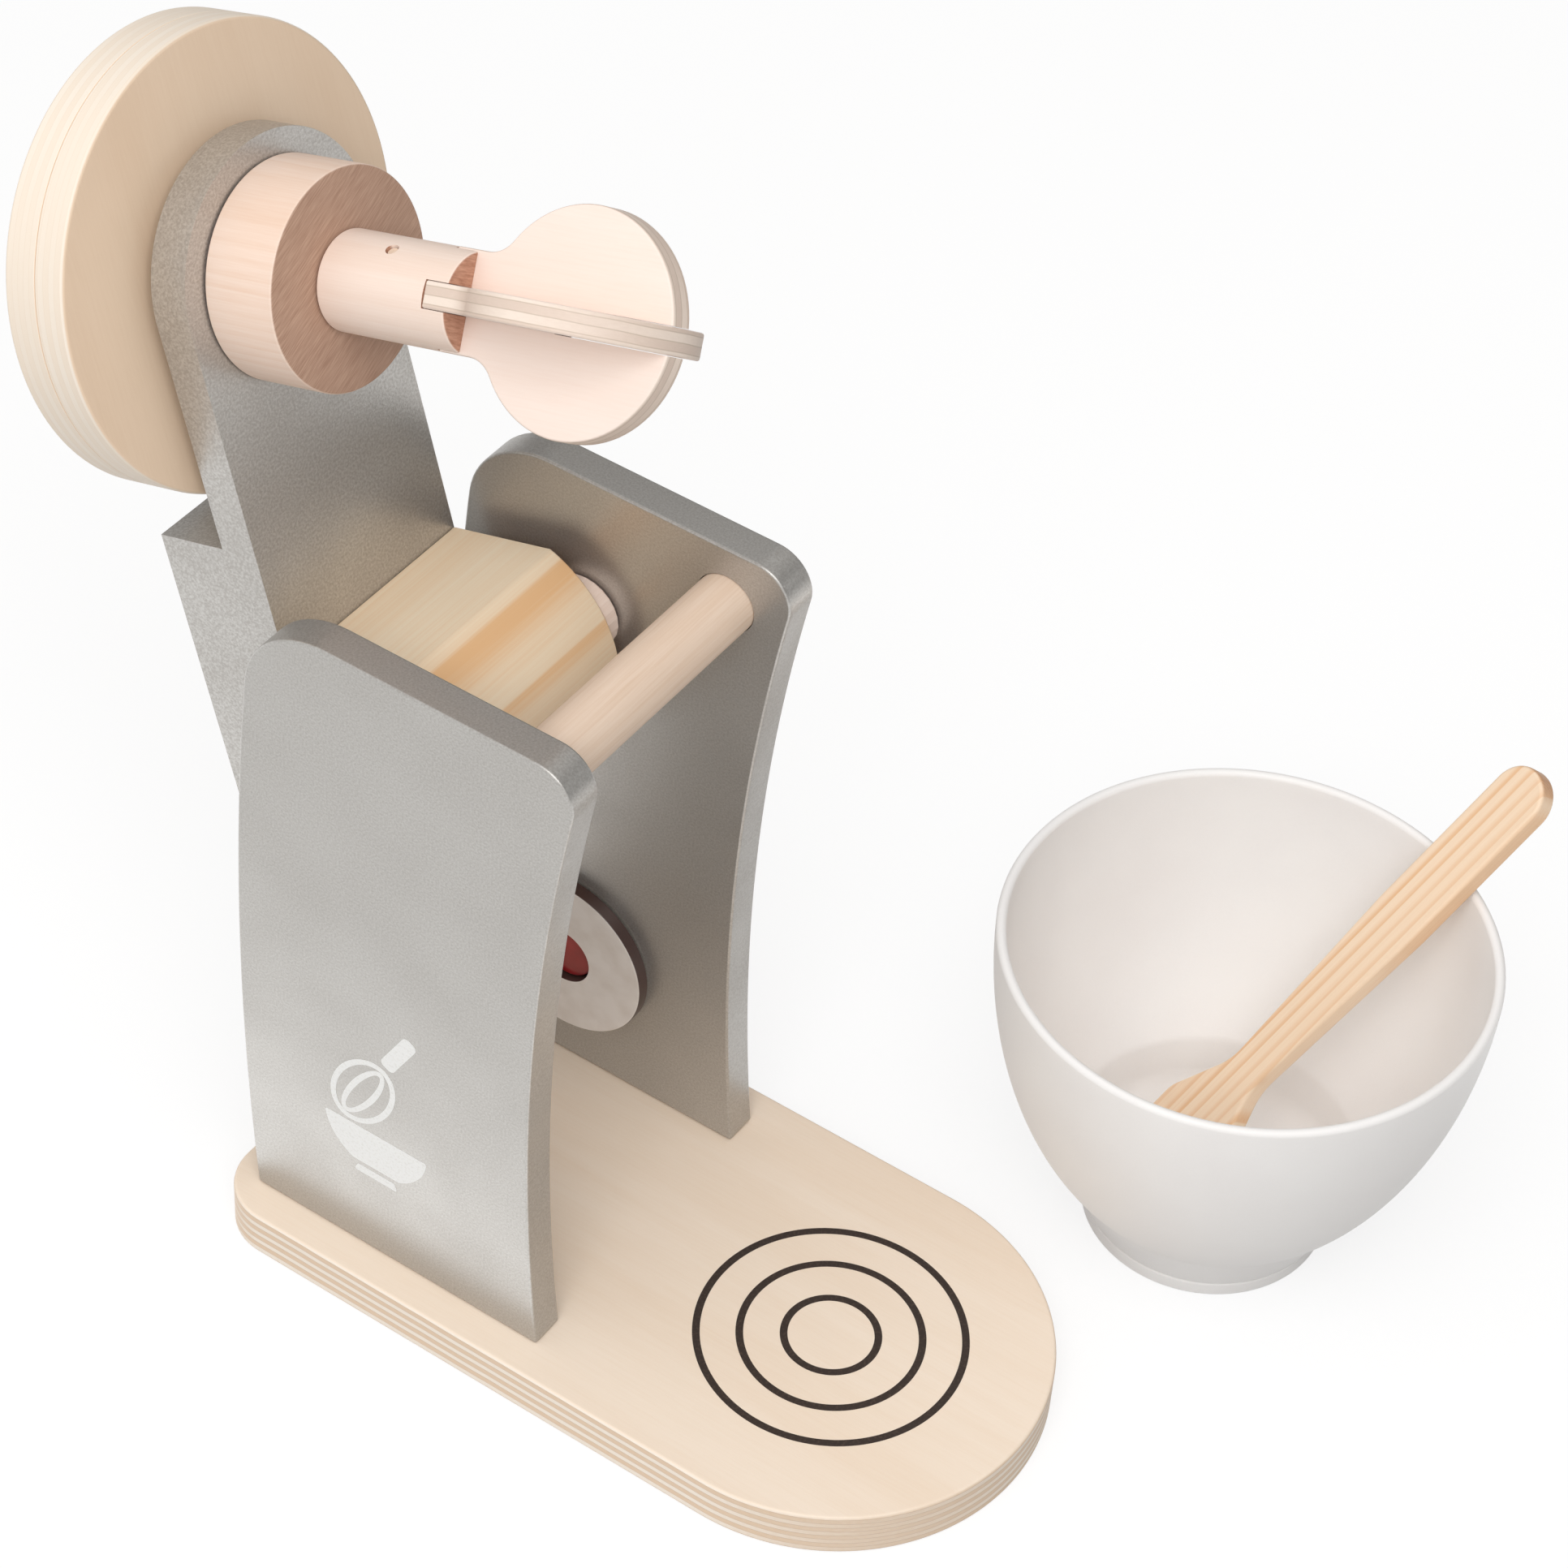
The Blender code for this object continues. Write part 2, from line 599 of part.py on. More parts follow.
def make_pivot():
    """Make the pivot dowel with a spacer ring on each side of the hinge block."""
    place = move(0, PIVOT_Y, PIVOT_Z) @ ALONG_X
    end = PANEL_INNER_X + DOWEL_BORE_DEPTH - GAP
    profile = rod_profile(PIVOT_RADIUS, -end, end, DOWEL_EASED_EDGE)
    turned_piece("pivot_dowel", profile, "ramin_dowel", place, steps=SMALL_ROUND_STEPS)
    near = BLOCK_WIDTH / 2 + GAP
    far = PANEL_INNER_X - GAP
    for name, low, high in (("left_pivot_spacer", -far, -near), ("right_pivot_spacer", near, far)):
        ring = ring_profile(SPACER_RADIUS, PIVOT_RADIUS + GAP, low, high, SPACER_EASED_EDGE)
        turned_piece(name, ring, "pale_basswood", place, steps=SMALL_ROUND_STEPS)


def make_head_arm(head):
    """Make the arm: a board with a round end about the whisk's axis."""
    half = ARM_WIDTH / 2
    tail = [(-half, -ARM_TAIL_BELOW_PIVOT), (half, -ARM_TAIL_BELOW_PIVOT)]
    top = arc((0, WHISK_UP_ARM), half, 0, math.pi, steps=ROUND_STEPS // 2)
    outline = rounded(tail + top, [ARM_TAIL_CORNER] * 2 + [0] * len(top))
    arm = flat_piece(
        "head_arm", outline, ARM_BACK, ARM_FACE, "silver_paint", move(), head, eased=PAINTED_EASED_EDGE,
    )
    ends = (ARM_BACK - CUT_OVERRUN, ARM_FACE + CUT_OVERRUN)
    cut(arm, bore_cutter("arm_axle_bore", AXLE_RADIUS + GAP, *ends, move(0, WHISK_UP_ARM), head))
    for index, x in enumerate(head_screw_places()):
        bore = bore_cutter(
            f"arm_screw_bore_{index}", SCREW_SHANK_RADIUS + GAP, *ends, move(x, -BLOCK_BELOW_PIVOT), head,
            steps=SCREW_STEPS,
        )
        cut(arm, bore)


def head_screw_places():
    """Return how far each head screw is to the side of the middle plane."""
    return (-HEAD_SCREW_HALF_SPACING, HEAD_SCREW_HALF_SPACING)


def make_head_plate(head):
    """Make the thick plate behind the arm, from below the wheel to the arm's tail."""
    half = ARM_WIDTH / 2
    outline = rounded(
        [(-half, -ARM_TAIL_BELOW_PIVOT), (half, -ARM_TAIL_BELOW_PIVOT), (half, PLATE_TOP), (-half, PLATE_TOP)],
        [ARM_TAIL_CORNER] * 2 + [0, 0],
    )
    plate = flat_piece(
        "head_back_plate", outline, PLATE_BACK, PLATE_FRONT, "silver_paint", move(), head,
        eased=PAINTED_EASED_EDGE,
    )
    for index, x in enumerate(head_screw_places()):
        place = move(x, -BLOCK_BELOW_PIVOT)
        bore = bore_cutter(
            f"plate_screw_bore_{index}", SCREW_SHANK_RADIUS + GAP, PLATE_BACK - CUT_OVERRUN,
            PLATE_FRONT + CUT_OVERRUN, place, head, steps=SCREW_STEPS,
        )
        cut(plate, bore)
        sunk = move(x, -BLOCK_BELOW_PIVOT, PLATE_BACK)
        cut(plate, countersink(f"plate_countersink_{index}", sunk, head))
        length = ARM_FACE + GAP + HEAD_SCREW_BITE - PLATE_BACK
        make_screw(f"head_screw_{index + 1}", length, sunk, head)


def make_hinge_block(head):
    """Make the hinge block: a turned length of pine with three flats, bored for the pivot."""
    centre_out = ARM_FACE + BLOCK_CENTRE_OFF_ARM
    seat = ARM_FACE + GAP
    half_angle = math.asin(BLOCK_HALF_FLAT / BLOCK_RADIUS)
    nose = arc((-BLOCK_BELOW_PIVOT, centre_out), BLOCK_RADIUS, math.pi / 2 - half_angle, math.pi / 2 + half_angle)
    back = [(-BLOCK_BELOW_PIVOT - BLOCK_HALF_FLAT, seat), (-BLOCK_BELOW_PIVOT + BLOCK_HALF_FLAT, seat)]
    half = BLOCK_WIDTH / 2
    block = flat_piece(
        "hinge_block", nose + back, -half, half, "clear_pine", ALONG_X, head, eased=BLOCK_EASED_EDGE,
    )
    pivot_bore = bore_cutter(
        "block_pivot_bore", PIVOT_RADIUS + GAP, -half - CUT_OVERRUN, half + CUT_OVERRUN, ALONG_X, head,
    )
    cut(block, pivot_bore)
    for index, x in enumerate(head_screw_places()):
        bore = bore_cutter(
            f"block_screw_bore_{index}", SCREW_SHANK_RADIUS + GAP, ARM_FACE - CUT_OVERRUN,
            ARM_FACE + GAP + HEAD_SCREW_BITE + GAP, move(x, -BLOCK_BELOW_PIVOT), head,
            steps=SCREW_STEPS,
        )
        cut(block, bore)


def make_hand_wheel(whisk):
    """Make the wheel's two discs, the spacer ring before them and the axle through them all."""
    bore = AXLE_RADIUS + GAP
    front = ring_profile(WHEEL_RADIUS, bore, WHEEL_JOINT, WHEEL_FRONT, WHEEL_EASED_EDGE)
    turned_piece("wheel_front_disc", front, "birch_plywood", move(), whisk)
    rear = ring_profile(WHEEL_RADIUS, bore, WHEEL_BACK, WHEEL_JOINT - GAP, WHEEL_EASED_EDGE)
    turned_piece("wheel_rear_disc", rear, "birch_plywood", move(), whisk)
    spacer = ring_profile(WHEEL_SPACER_RADIUS, bore, WHEEL_FRONT + GAP, ARM_BACK - GAP, SPACER_EASED_EDGE)
    turned_piece("wheel_spacer", spacer, "pale_basswood", move(), whisk, steps=SMALL_ROUND_STEPS)
    rod = rod_profile(AXLE_RADIUS, WHEEL_BACK, AXLE_FRONT, DOWEL_EASED_EDGE)
    axle = turned_piece("wheel_axle", rod, "ramin_dowel", move(), whisk, steps=SMALL_ROUND_STEPS)
    cut(axle, pin_bore("axle_pin_bore", whisk))


def pin_place():
    """Return the place of the pin across the shaft, square to its length."""
    return turn(WHISK_PHASE + math.pi / 4, "Z") @ move(z=SHAFT_BACK + PIN_FROM_HUB) @ ALONG_X


def pin_bore(name, whisk):
    """Return the cutter for the pin's bore."""
    end = SHAFT_RADIUS + CUT_OVERRUN
    return bore_cutter(name, PIN_RADIUS + GAP, -end, end, pin_place(), whisk, steps=SCREW_STEPS)


def make_hub_and_shaft(whisk):
    """Make the hub, the shaft with its crossed slots and the pin that ties it to the axle."""
    bore = AXLE_RADIUS + GAP
    ring = ring_profile(HUB_RADIUS, bore, HUB_BACK, HUB_FRONT, HUB_EASED_EDGE)
    turned_piece("whisk_hub", ring, "turned_beech", move(), whisk, steps=MEDIUM_ROUND_STEPS)
    rod = rod_profile(SHAFT_RADIUS, SHAFT_BACK, SHAFT_FRONT, SHAFT_EASED_EDGE)
    shaft = turned_piece("whisk_shaft", rod, "pale_basswood", move(), whisk, steps=MEDIUM_ROUND_STEPS)
    ends = (SHAFT_BACK - CUT_OVERRUN, SHAFT_BACK + SHAFT_BORE_DEPTH)
    cut(shaft, bore_cutter("shaft_axle_bore", bore, *ends, move(), whisk))
    cut(shaft, pin_bore("shaft_pin_bore", whisk))
    reach = SHAFT_RADIUS + CUT_OVERRUN
    half = BLADE_THICKNESS / 2 + GAP
    low = SHAFT_FRONT - BLADE_SLOT_DEPTH
    for index in range(2):
        place = turn(WHISK_PHASE + index * math.pi / 2, "Z")
        slot = box_cutter(
            f"shaft_slot_{index}", (-reach, -half, low), (reach, half, SHAFT_FRONT + CUT_OVERRUN), place, whisk,
        )
        cut(shaft, slot)
    end = SHAFT_RADIUS - PIN_SUNK
    pin = rod_profile(PIN_RADIUS, -end, end, 0)
    turned_piece("whisk_pin", pin, "ramin_dowel", pin_place(), whisk, steps=SCREW_STEPS)


def blade_outline():
    """Return a whisk blade's outline: a straight root, hollow shoulders and a round paddle."""
    root = SHAFT_FRONT - BLADE_SLOT_DEPTH + GAP
    centre = SHAFT_FRONT + BLADE_CENTRE_FROM_SHAFT
    reach = BLADE_RADIUS + BLADE_FILLET
    side = SHAFT_RADIUS + BLADE_FILLET
    below = math.sqrt(reach**2 - side**2)
    angle = math.atan2(below, side)
    right = arc((side, centre - below), BLADE_FILLET, math.pi, math.pi - angle, steps=CORNER_STEPS)
    paddle = arc((0, centre), BLADE_RADIUS, -angle, math.pi + angle, steps=SMALL_ROUND_STEPS)
    left = [(-x, y) for x, y in reversed(right)]
    return [(-SHAFT_RADIUS, root), (SHAFT_RADIUS, root)] + right + paddle[1:-1] + left


def make_blades(whisk):
    """Make the two whisk blades, halved into each other like an egg-box."""
    half = BLADE_THICKNESS / 2
    slot_half = half + GAP
    root = SHAFT_FRONT - BLADE_SLOT_DEPTH + GAP
    tip = SHAFT_FRONT + BLADE_CENTRE_FROM_SHAFT + BLADE_RADIUS
    middle = (root + tip) / 2
    halves = (
        ("whisk_blade_rooted", 0, middle - GAP / 2, tip + CUT_OVERRUN),
        ("whisk_blade_crossing", 1, root - CUT_OVERRUN, middle + GAP / 2),
    )
    stand_up = turn(math.pi / 2, "X")
    for name, quarter, low, high in halves:
        place = turn(WHISK_PHASE + quarter * math.pi / 2, "Z") @ stand_up
        blade = flat_piece(
            name, blade_outline(), -half, half, "pale_basswood", place, whisk, eased=BLADE_EASED_EDGE,
        )
        slot = box_cutter(
            f"{name}_slot", (-slot_half, low, -half - CUT_OVERRUN), (slot_half, high, half + CUT_OVERRUN),
            place, whisk,
        )
        cut(blade, slot)


def make_knob(knob):
    """Make the knob, its axle through the right panel and the retaining disc inside."""
    seat = PANEL_OUTER_X + GAP
    face = seat + KNOB_THICKNESS
    socket = KNOB_AXLE_RADIUS + GAP
    socket_end = seat + KNOB_AXLE_SOCKET
    points = [
        (0, face + KNOB_CROWN), (KNOB_RADIUS / 2, face + KNOB_CROWN * 3 / 4), (KNOB_RADIUS, face),
        (KNOB_RADIUS, seat), (socket, seat), (socket, socket_end), (0, socket_end),
    ]
    profile = rounded(points, [0, 0, KNOB_EDGE_ROUND, 0, 0, 0, 0], closed=False)
    body = turned_piece("knob", profile, "red_gloss", ALONG_X, knob, steps=MEDIUM_ROUND_STEPS)
    mark_centre = KNOB_RADIUS - KNOB_MARK_FROM_EDGE
    mark_low = face - KNOB_MARK_DEPTH
    mark_place = move(z=mark_centre) @ ALONG_X
    mark_high = face + KNOB_CROWN / 2
    hole = bore_cutter(
        "knob_mark_bore", KNOB_MARK_RADIUS + GAP, mark_low, face + KNOB_CROWN + CUT_OVERRUN, mark_place, knob,
        steps=SCREW_STEPS,
    )
    cut(body, hole)
    mark = rod_profile(KNOB_MARK_RADIUS, mark_low + GAP, mark_high, 0)
    turned_piece("knob_mark", mark, "white_gloss", mark_place, knob, steps=SCREW_STEPS)
    retainer_face = PANEL_INNER_X - GAP - RETAINER_THICKNESS
    axle = rod_profile(KNOB_AXLE_RADIUS, retainer_face + RETAINER_AXLE_RECESS, socket_end - GAP, DOWEL_EASED_EDGE)
    turned_piece("knob_axle", axle, "red_gloss", ALONG_X, knob, steps=SMALL_ROUND_STEPS)
    ring = ring_profile(RETAINER_RADIUS, socket, retainer_face, PANEL_INNER_X - GAP, RETAINER_EASED_EDGE)
    turned_piece("knob_retaining_disc", ring, "white_gloss", ALONG_X, knob, steps=MEDIUM_ROUND_STEPS)


def bowl_curve(radius, depth, low, high):
    """Return points down an ellipse about the rim's level, from a high to a low height."""
    points = []
    for step in range(BOWL_STEPS + 1):
        height = high + (low - high) * step / BOWL_STEPS
        share_below_rim = (BOWL_HEIGHT - height) / depth
        points.append((radius * math.sqrt(1 - share_below_rim**2), height))
    return points


def make_bowl(bowl):
    """Make the bowl: a thin shell on a low foot ring, with a rounded rim."""
    lip = BOWL_WALL / 2
    outer = bowl_curve(BOWL_RIM_RADIUS, BOWL_CURVE_DEPTH, BOWL_HIP_HEIGHT, BOWL_HEIGHT - lip)
    inner = bowl_curve(
        BOWL_RIM_RADIUS - BOWL_WALL, BOWL_CURVE_DEPTH - BOWL_WALL, BOWL_HIP_HEIGHT + BOWL_WALL, BOWL_HEIGHT - lip,
    )
    rim = arc((BOWL_RIM_RADIUS - lip, BOWL_HEIGHT - lip), lip, math.pi, 0, steps=RIM_STEPS)
    groove_low = BOWL_FOOT_HEIGHT
    groove_high = BOWL_FOOT_HEIGHT + BOWL_GROOVE_HEIGHT
    groove = BOWL_FOOT_RADIUS - BOWL_GROOVE_DEPTH
    foot_inner = BOWL_FOOT_RADIUS - BOWL_FOOT_WALL
    foot = rounded(
        [
            (groove, groove_low), (BOWL_FOOT_RADIUS, groove_low), (BOWL_FOOT_RADIUS, 0), (foot_inner, 0),
            (foot_inner, BOWL_FOOT_RECESS), (0, BOWL_FOOT_RECESS),
        ],
        [0, BOWL_FOOT_EASED, BOWL_FOOT_EASED, BOWL_FOOT_EASED, 0, 0], steps=CHAMFER, closed=False,
    )
    floor_corner = (inner[-1][0] - BOWL_WALL, BOWL_FLOOR_HEIGHT)
    floor = rounded(
        [(0, BOWL_FLOOR_HEIGHT), floor_corner, inner[-1]], [0, BOWL_FLOOR_CORNER, 0], steps=RIM_STEPS,
        closed=False,
    )
    hip = [(BOWL_FOOT_RADIUS + GAP, groove_high), (groove, groove_high)]
    profile = floor[:-1] + inner[::-1][:-1] + rim + outer[1:] + hip + foot
    turned_piece("mixing_bowl", profile, "white_bowl", move(), bowl, steps=BOWL_ROUND_STEPS)


def bowl_inner_radius(height):
    """Return the bowl's inner radius at a height, taken as a cone below the hip."""
    hip = BOWL_HIP_HEIGHT + BOWL_WALL
    share_below_rim = (BOWL_HEIGHT - max(height, hip)) / (BOWL_CURVE_DEPTH - BOWL_WALL)
    radius = (BOWL_RIM_RADIUS - BOWL_WALL) * math.sqrt(1 - share_below_rim**2)
    below_hip = max(hip - height, 0)
    return radius - BOWL_FLOOR_CORNER * below_hip / (hip - BOWL_FLOOR_HEIGHT)


def spatula_rest():
    """Return the spatula's place in the bowl's frame: its lower face on the rim, its width off centre."""
    lip = BOWL_WALL / 2
    contact_side = SPATULA_OFF_CENTRE + SPATULA_GRIP_WIDTH / 2
    rim_contact = math.sqrt((BOWL_RIM_RADIUS - lip) ** 2 - contact_side**2)
    on_rim = move(rim_contact, SPATULA_OFF_CENTRE, BOWL_HEIGHT - lip)
    return turn(SPATULA_AZIMUTH, "Z") @ on_rim @ turn(-SPATULA_SLOPE, "Y") @ move(z=lip + GAP)


def spatula_fits(reach):
    """Return whether the blade clears the bowl's wall with its tip this far down from the rim."""
    for x, y in spatula_outline(reach):
        if x > SPATULA_BLADE_LENGTH - reach:
            continue
        for face in (0, SPATULA_THICKNESS):
            place = spatula_rest() @ Vector((x, y, face))
            if math.hypot(place.x, place.y) > bowl_inner_radius(place.z) - GAP:
                return False
    return True


def spatula_reach():
    """Return how far the tip is from the rim: on the bowl's floor, or as deep as the wall lets it go."""
    fall = spatula_rest().translation.z - BOWL_FLOOR_HEIGHT - GAP
    on_floor = fall / math.sin(SPATULA_SLOPE)
    for step in range(REACH_STEPS):
        reach = on_floor + (SPATULA_BLADE_LENGTH - on_floor) * step / REACH_STEPS
        if spatula_fits(reach):
            return reach
    return SPATULA_BLADE_LENGTH


def spatula_outline(reach):
    """Return the spatula's outline along local X from the rim: grip, neck, shoulders and blade."""
    tip = -reach
    shoulder = tip + SPATULA_BLADE_LENGTH
    blade_start = shoulder - SPATULA_SHOULDER_LENGTH
    grip_start = SPATULA_PAST_RIM - SPATULA_GRIP_LENGTH
    grip = SPATULA_GRIP_WIDTH / 2
    neck = SPATULA_NECK_WIDTH / 2
    blade = SPATULA_BLADE_WIDTH / 2
    grip_centre = SPATULA_PAST_RIM - grip
    half = [
        (tip, blade), (blade_start, blade), (shoulder, neck), (grip_start, grip), (grip_centre, grip),
    ]
    radii = [SPATULA_TIP_CORNER, SPATULA_SHOULDER_LENGTH / 2, SPATULA_SHOULDER_LENGTH, SPATULA_GRIP_LENGTH, 0]
    lower = [(x, -y) for x, y in reversed(half)]
    end = arc((grip_centre, 0), grip, math.pi / 2, -math.pi / 2)[1:-1]
    outline = rounded(half + end + lower, radii + [0] * len(end) + radii[::-1])
    outline.reverse()
    return outline


def make_spatula(spatula):
    """Make the spatula from a strip of pine with eased edges."""
    outline = spatula_outline(spatula_reach())
    flat_piece("spatula", outline, 0, SPATULA_THICKNESS, "clear_pine", move(), spatula, eased=SPATULA_EASED_EDGE)


def make_base_screws():
    """Make the screws that hold the panels on the base, heads flush with its underside."""
    length = PANEL_BOTTOM + BASE_SCREW_BITE
    for index, (x, y) in enumerate(base_screw_places()):
        make_screw(f"base_screw_{index + 1}", length, move(x, y))


for old in list(bpy.data.objects):
    bpy.data.objects.remove(old)

parts = make_collection(COLLECTION_NAME)
cutters = make_collection(CUTTER_COLLECTION_NAME)

head_axis = make_axis("head_tilt_axis", move(0, PIVOT_Y, PIVOT_Z) @ turn(math.pi / 2 - RAISED_TILT, "X"))
whisk_axis = make_axis("whisk_axis", move(0, WHISK_UP_ARM), head_axis)
knob_axis = make_axis("knob_turn_axis", move(0, KNOB_Y, KNOB_Z))
bowl_axis = make_axis("bowl_axis", move(BOWL_X, BOWL_Y))
spatula_axis = make_axis("spatula_axis", spatula_rest(), bowl_axis)

make_base()
make_side_panel("left_side_panel", -1)
make_side_panel("right_side_panel", 1)
make_cross_dowels()
make_pivot()
make_head_arm(head_axis)
make_head_plate(head_axis)
make_hinge_block(head_axis)
make_hand_wheel(whisk_axis)
make_hub_and_shaft(whisk_axis)
make_blades(whisk_axis)
make_knob(knob_axis)
make_base_screws()
make_bowl(bowl_axis)
make_spatula(spatula_axis)
bpy.context.view_layer.update()
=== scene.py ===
"""Looks of the toy stand mixer: painted plywood stand and head, clear wood, a bowl and a spatula.

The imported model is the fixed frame. Each sub-assembly below is a class that holds its sizes in
metres, builds finer meshes in the frame's own places and dresses them with procedural finishes.
X = 0 is the mixer's middle plane, the front is -Y, and the floor is at Z = 0.
"""

from __future__ import annotations

import logging
import math
from dataclasses import dataclass, field, replace
from enum import Enum
from functools import partial

import bmesh
import bpy
from mathutils import Matrix, Vector

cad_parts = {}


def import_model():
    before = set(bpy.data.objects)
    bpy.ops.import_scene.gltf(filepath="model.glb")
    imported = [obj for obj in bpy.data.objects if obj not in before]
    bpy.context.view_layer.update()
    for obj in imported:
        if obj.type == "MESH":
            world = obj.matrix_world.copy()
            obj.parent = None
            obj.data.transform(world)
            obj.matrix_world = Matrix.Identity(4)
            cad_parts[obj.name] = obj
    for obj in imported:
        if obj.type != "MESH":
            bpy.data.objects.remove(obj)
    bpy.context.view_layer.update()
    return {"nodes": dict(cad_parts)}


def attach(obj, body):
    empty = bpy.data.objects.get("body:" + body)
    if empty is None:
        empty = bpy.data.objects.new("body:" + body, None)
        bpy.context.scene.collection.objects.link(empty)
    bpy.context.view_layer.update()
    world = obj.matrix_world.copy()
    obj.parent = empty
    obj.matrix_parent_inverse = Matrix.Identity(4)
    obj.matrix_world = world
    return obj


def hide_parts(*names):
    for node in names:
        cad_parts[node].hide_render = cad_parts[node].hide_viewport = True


log = logging.getLogger("toy_stand_mixer")

MM = 0.001
SMOOTH_ANGLE = math.radians(35)
SHARP_EDGE_ANGLE = math.radians(50)

Point = tuple[float, float]
Outline = list[Point]
Tree = bpy.types.NodeTree
Socket = bpy.types.NodeSocket


class Body(Enum):
    """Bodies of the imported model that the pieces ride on."""

    STAND = "stand"
    HEAD = "head"
    WHISK = "whisk"
    KNOB = "control_knob"
    BOWL = "bowl"
    SPATULA = "spatula"


class Slot(Enum):
    """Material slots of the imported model."""

    PLYWOOD = "birch_plywood"
    SILVER = "silver_paint"
    BEECH = "turned_beech"
    BASSWOOD = "pale_basswood"
    PINE = "clear_pine"
    DOWEL = "ramin_dowel"
    RED = "red_gloss"
    WHITE = "white_gloss"
    BOWL = "white_bowl"


class Along(Enum):
    """Direction of the fibre in a piece's own frame, as the turn in degrees that brings it to X."""

    X = (0.0, 0.0, 0.0)
    Z = (0.0, 90.0, 0.0)


class Ends(Enum):
    """How the first and last rings of a skin are closed."""

    CAPPED = "capped"
    JOINED = "joined"
    POINTED = "pointed"


def linear(colour: str) -> tuple[float, float, float, float]:
    """Return an sRGB hex colour as linear red, green and blue, and an alpha of one.

    Args:
        colour: Six hex digits after a hash sign.

    Returns:
        Red, green, blue and alpha.
    """
    shares = [int(colour[index : index + 2], 16) / 255 for index in (1, 3, 5)]
    values = [share / 12.92 if share <= 0.04045 else ((share + 0.055) / 1.055) ** 2.4 for share in shares]
    return (*values, 1.0)


def add_node(
    tree: Tree,
    kind: str,
    inputs: dict[str | int, object] | None = None,
    output: str | int = 0,
    **settings: object,
) -> Socket:
    """Add a shader node with its settings, values and links.

    Args:
        tree: Node tree that takes the node.
        kind: Identifier of the node after "ShaderNode".
        inputs: A value, or an output socket to link, for each input by name or number.
        output: Name or number of the wanted output.
        **settings: Properties of the node.

    Returns:
        The wanted output socket.
    """
    node = tree.nodes.new(f"ShaderNode{kind}")
    for name, value in settings.items():
        setattr(node, name, value)
    for name, value in (inputs or {}).items():
        if isinstance(value, Socket):
            tree.links.new(value, node.inputs[name])
        else:
            node.inputs[name].default_value = value
    return node.outputs[output]


def blend(tree: Tree, share: Socket, first: object, second: object) -> Socket:
    """Add a mix of two colours.

    Args:
        tree: Node tree that takes the node.
        share: Share of the second colour.
        first: A hex colour, a linear colour with alpha, or a socket.
        second: The same for the other colour.

    Returns:
        The mixed colour.
    """
    tones = [linear(tone) if isinstance(tone, str) else tone for tone in (first, second)]
    return add_node(tree, "Mix", {0: share, 6: tones[0], 7: tones[1]}, 2, data_type="RGBA")


def smooth_step(
    tree: Tree, value: Socket, low: float, high: float, start: float = 0.0, end: float = 1.0
) -> Socket:
    """Add a smooth change from start to end while a value rises from low to high."""
    levels = {"Value": value, "From Min": low, "From Max": high, "To Min": start, "To Max": end}
    return add_node(tree, "MapRange", levels, interpolation_type="SMOOTHSTEP")


def towards(tree: Tree, normal: Socket, axis: str) -> Socket:
    """Add how squarely a normal looks along an axis, either way: from nought to one."""
    part = add_node(tree, "SeparateXYZ", {0: normal}, axis)
    return add_node(tree, "Math", {0: part}, operation="ABSOLUTE")


@dataclass(frozen=True)
class Pattern:
    """Noise of a fineness along each axis, per metre, and the share that it gives between two levels."""

    per_metre: tuple[float, float, float]
    low: float = 0.0
    high: float = 1.0
    depth: float = 1.0
    detail: float = 2.0
    roughness: float = 0.5
    distortion: float = 0.0

    def noise(self, tree: Tree, where: Socket, output: int = 0) -> Socket:
        """Add the bare noise.

        Args:
            tree: The material's node tree.
            where: Place in the piece.
            output: 0 for one value, 1 for three.

        Returns:
            The noise.
        """
        scaled = add_node(tree, "VectorMath", {0: where, 1: self.per_metre}, operation="MULTIPLY")
        values = {"Vector": scaled, "Scale": 1.0, "Detail": self.detail, "Roughness": self.roughness}
        return add_node(tree, "TexNoise", {**values, "Distortion": self.distortion}, output)

    def share(self, tree: Tree, noise: Socket) -> Socket:
        """Return the noise as a share from nought to the pattern's depth."""
        levels = {"Value": noise, "From Min": self.low, "From Max": self.high, "To Max": self.depth}
        return add_node(tree, "MapRange", levels)


@dataclass(frozen=True)
class Canvas:
    """A piece's material while it is painted, with place and normal in the piece's own frame."""

    tree: Tree
    shader: bpy.types.Node
    where: Socket
    facing: Socket

    def dress(
        self, colour: Socket, relief: Socket | None = None, strength: float = 0.0, depth: float = 0.0
    ) -> None:
        """Give the shader its colour and, where asked, a fine relief.

        Args:
            colour: The colour.
            relief: Height of the relief.
            strength: How much the relief tells.
            depth: How deep it is.
        """
        self.tree.links.new(colour, self.shader.inputs["Base Color"])
        if relief is not None:
            values = {"Strength": strength, "Distance": depth, "Height": relief}
            self.tree.links.new(add_node(self.tree, "Bump", values), self.shader.inputs["Normal"])


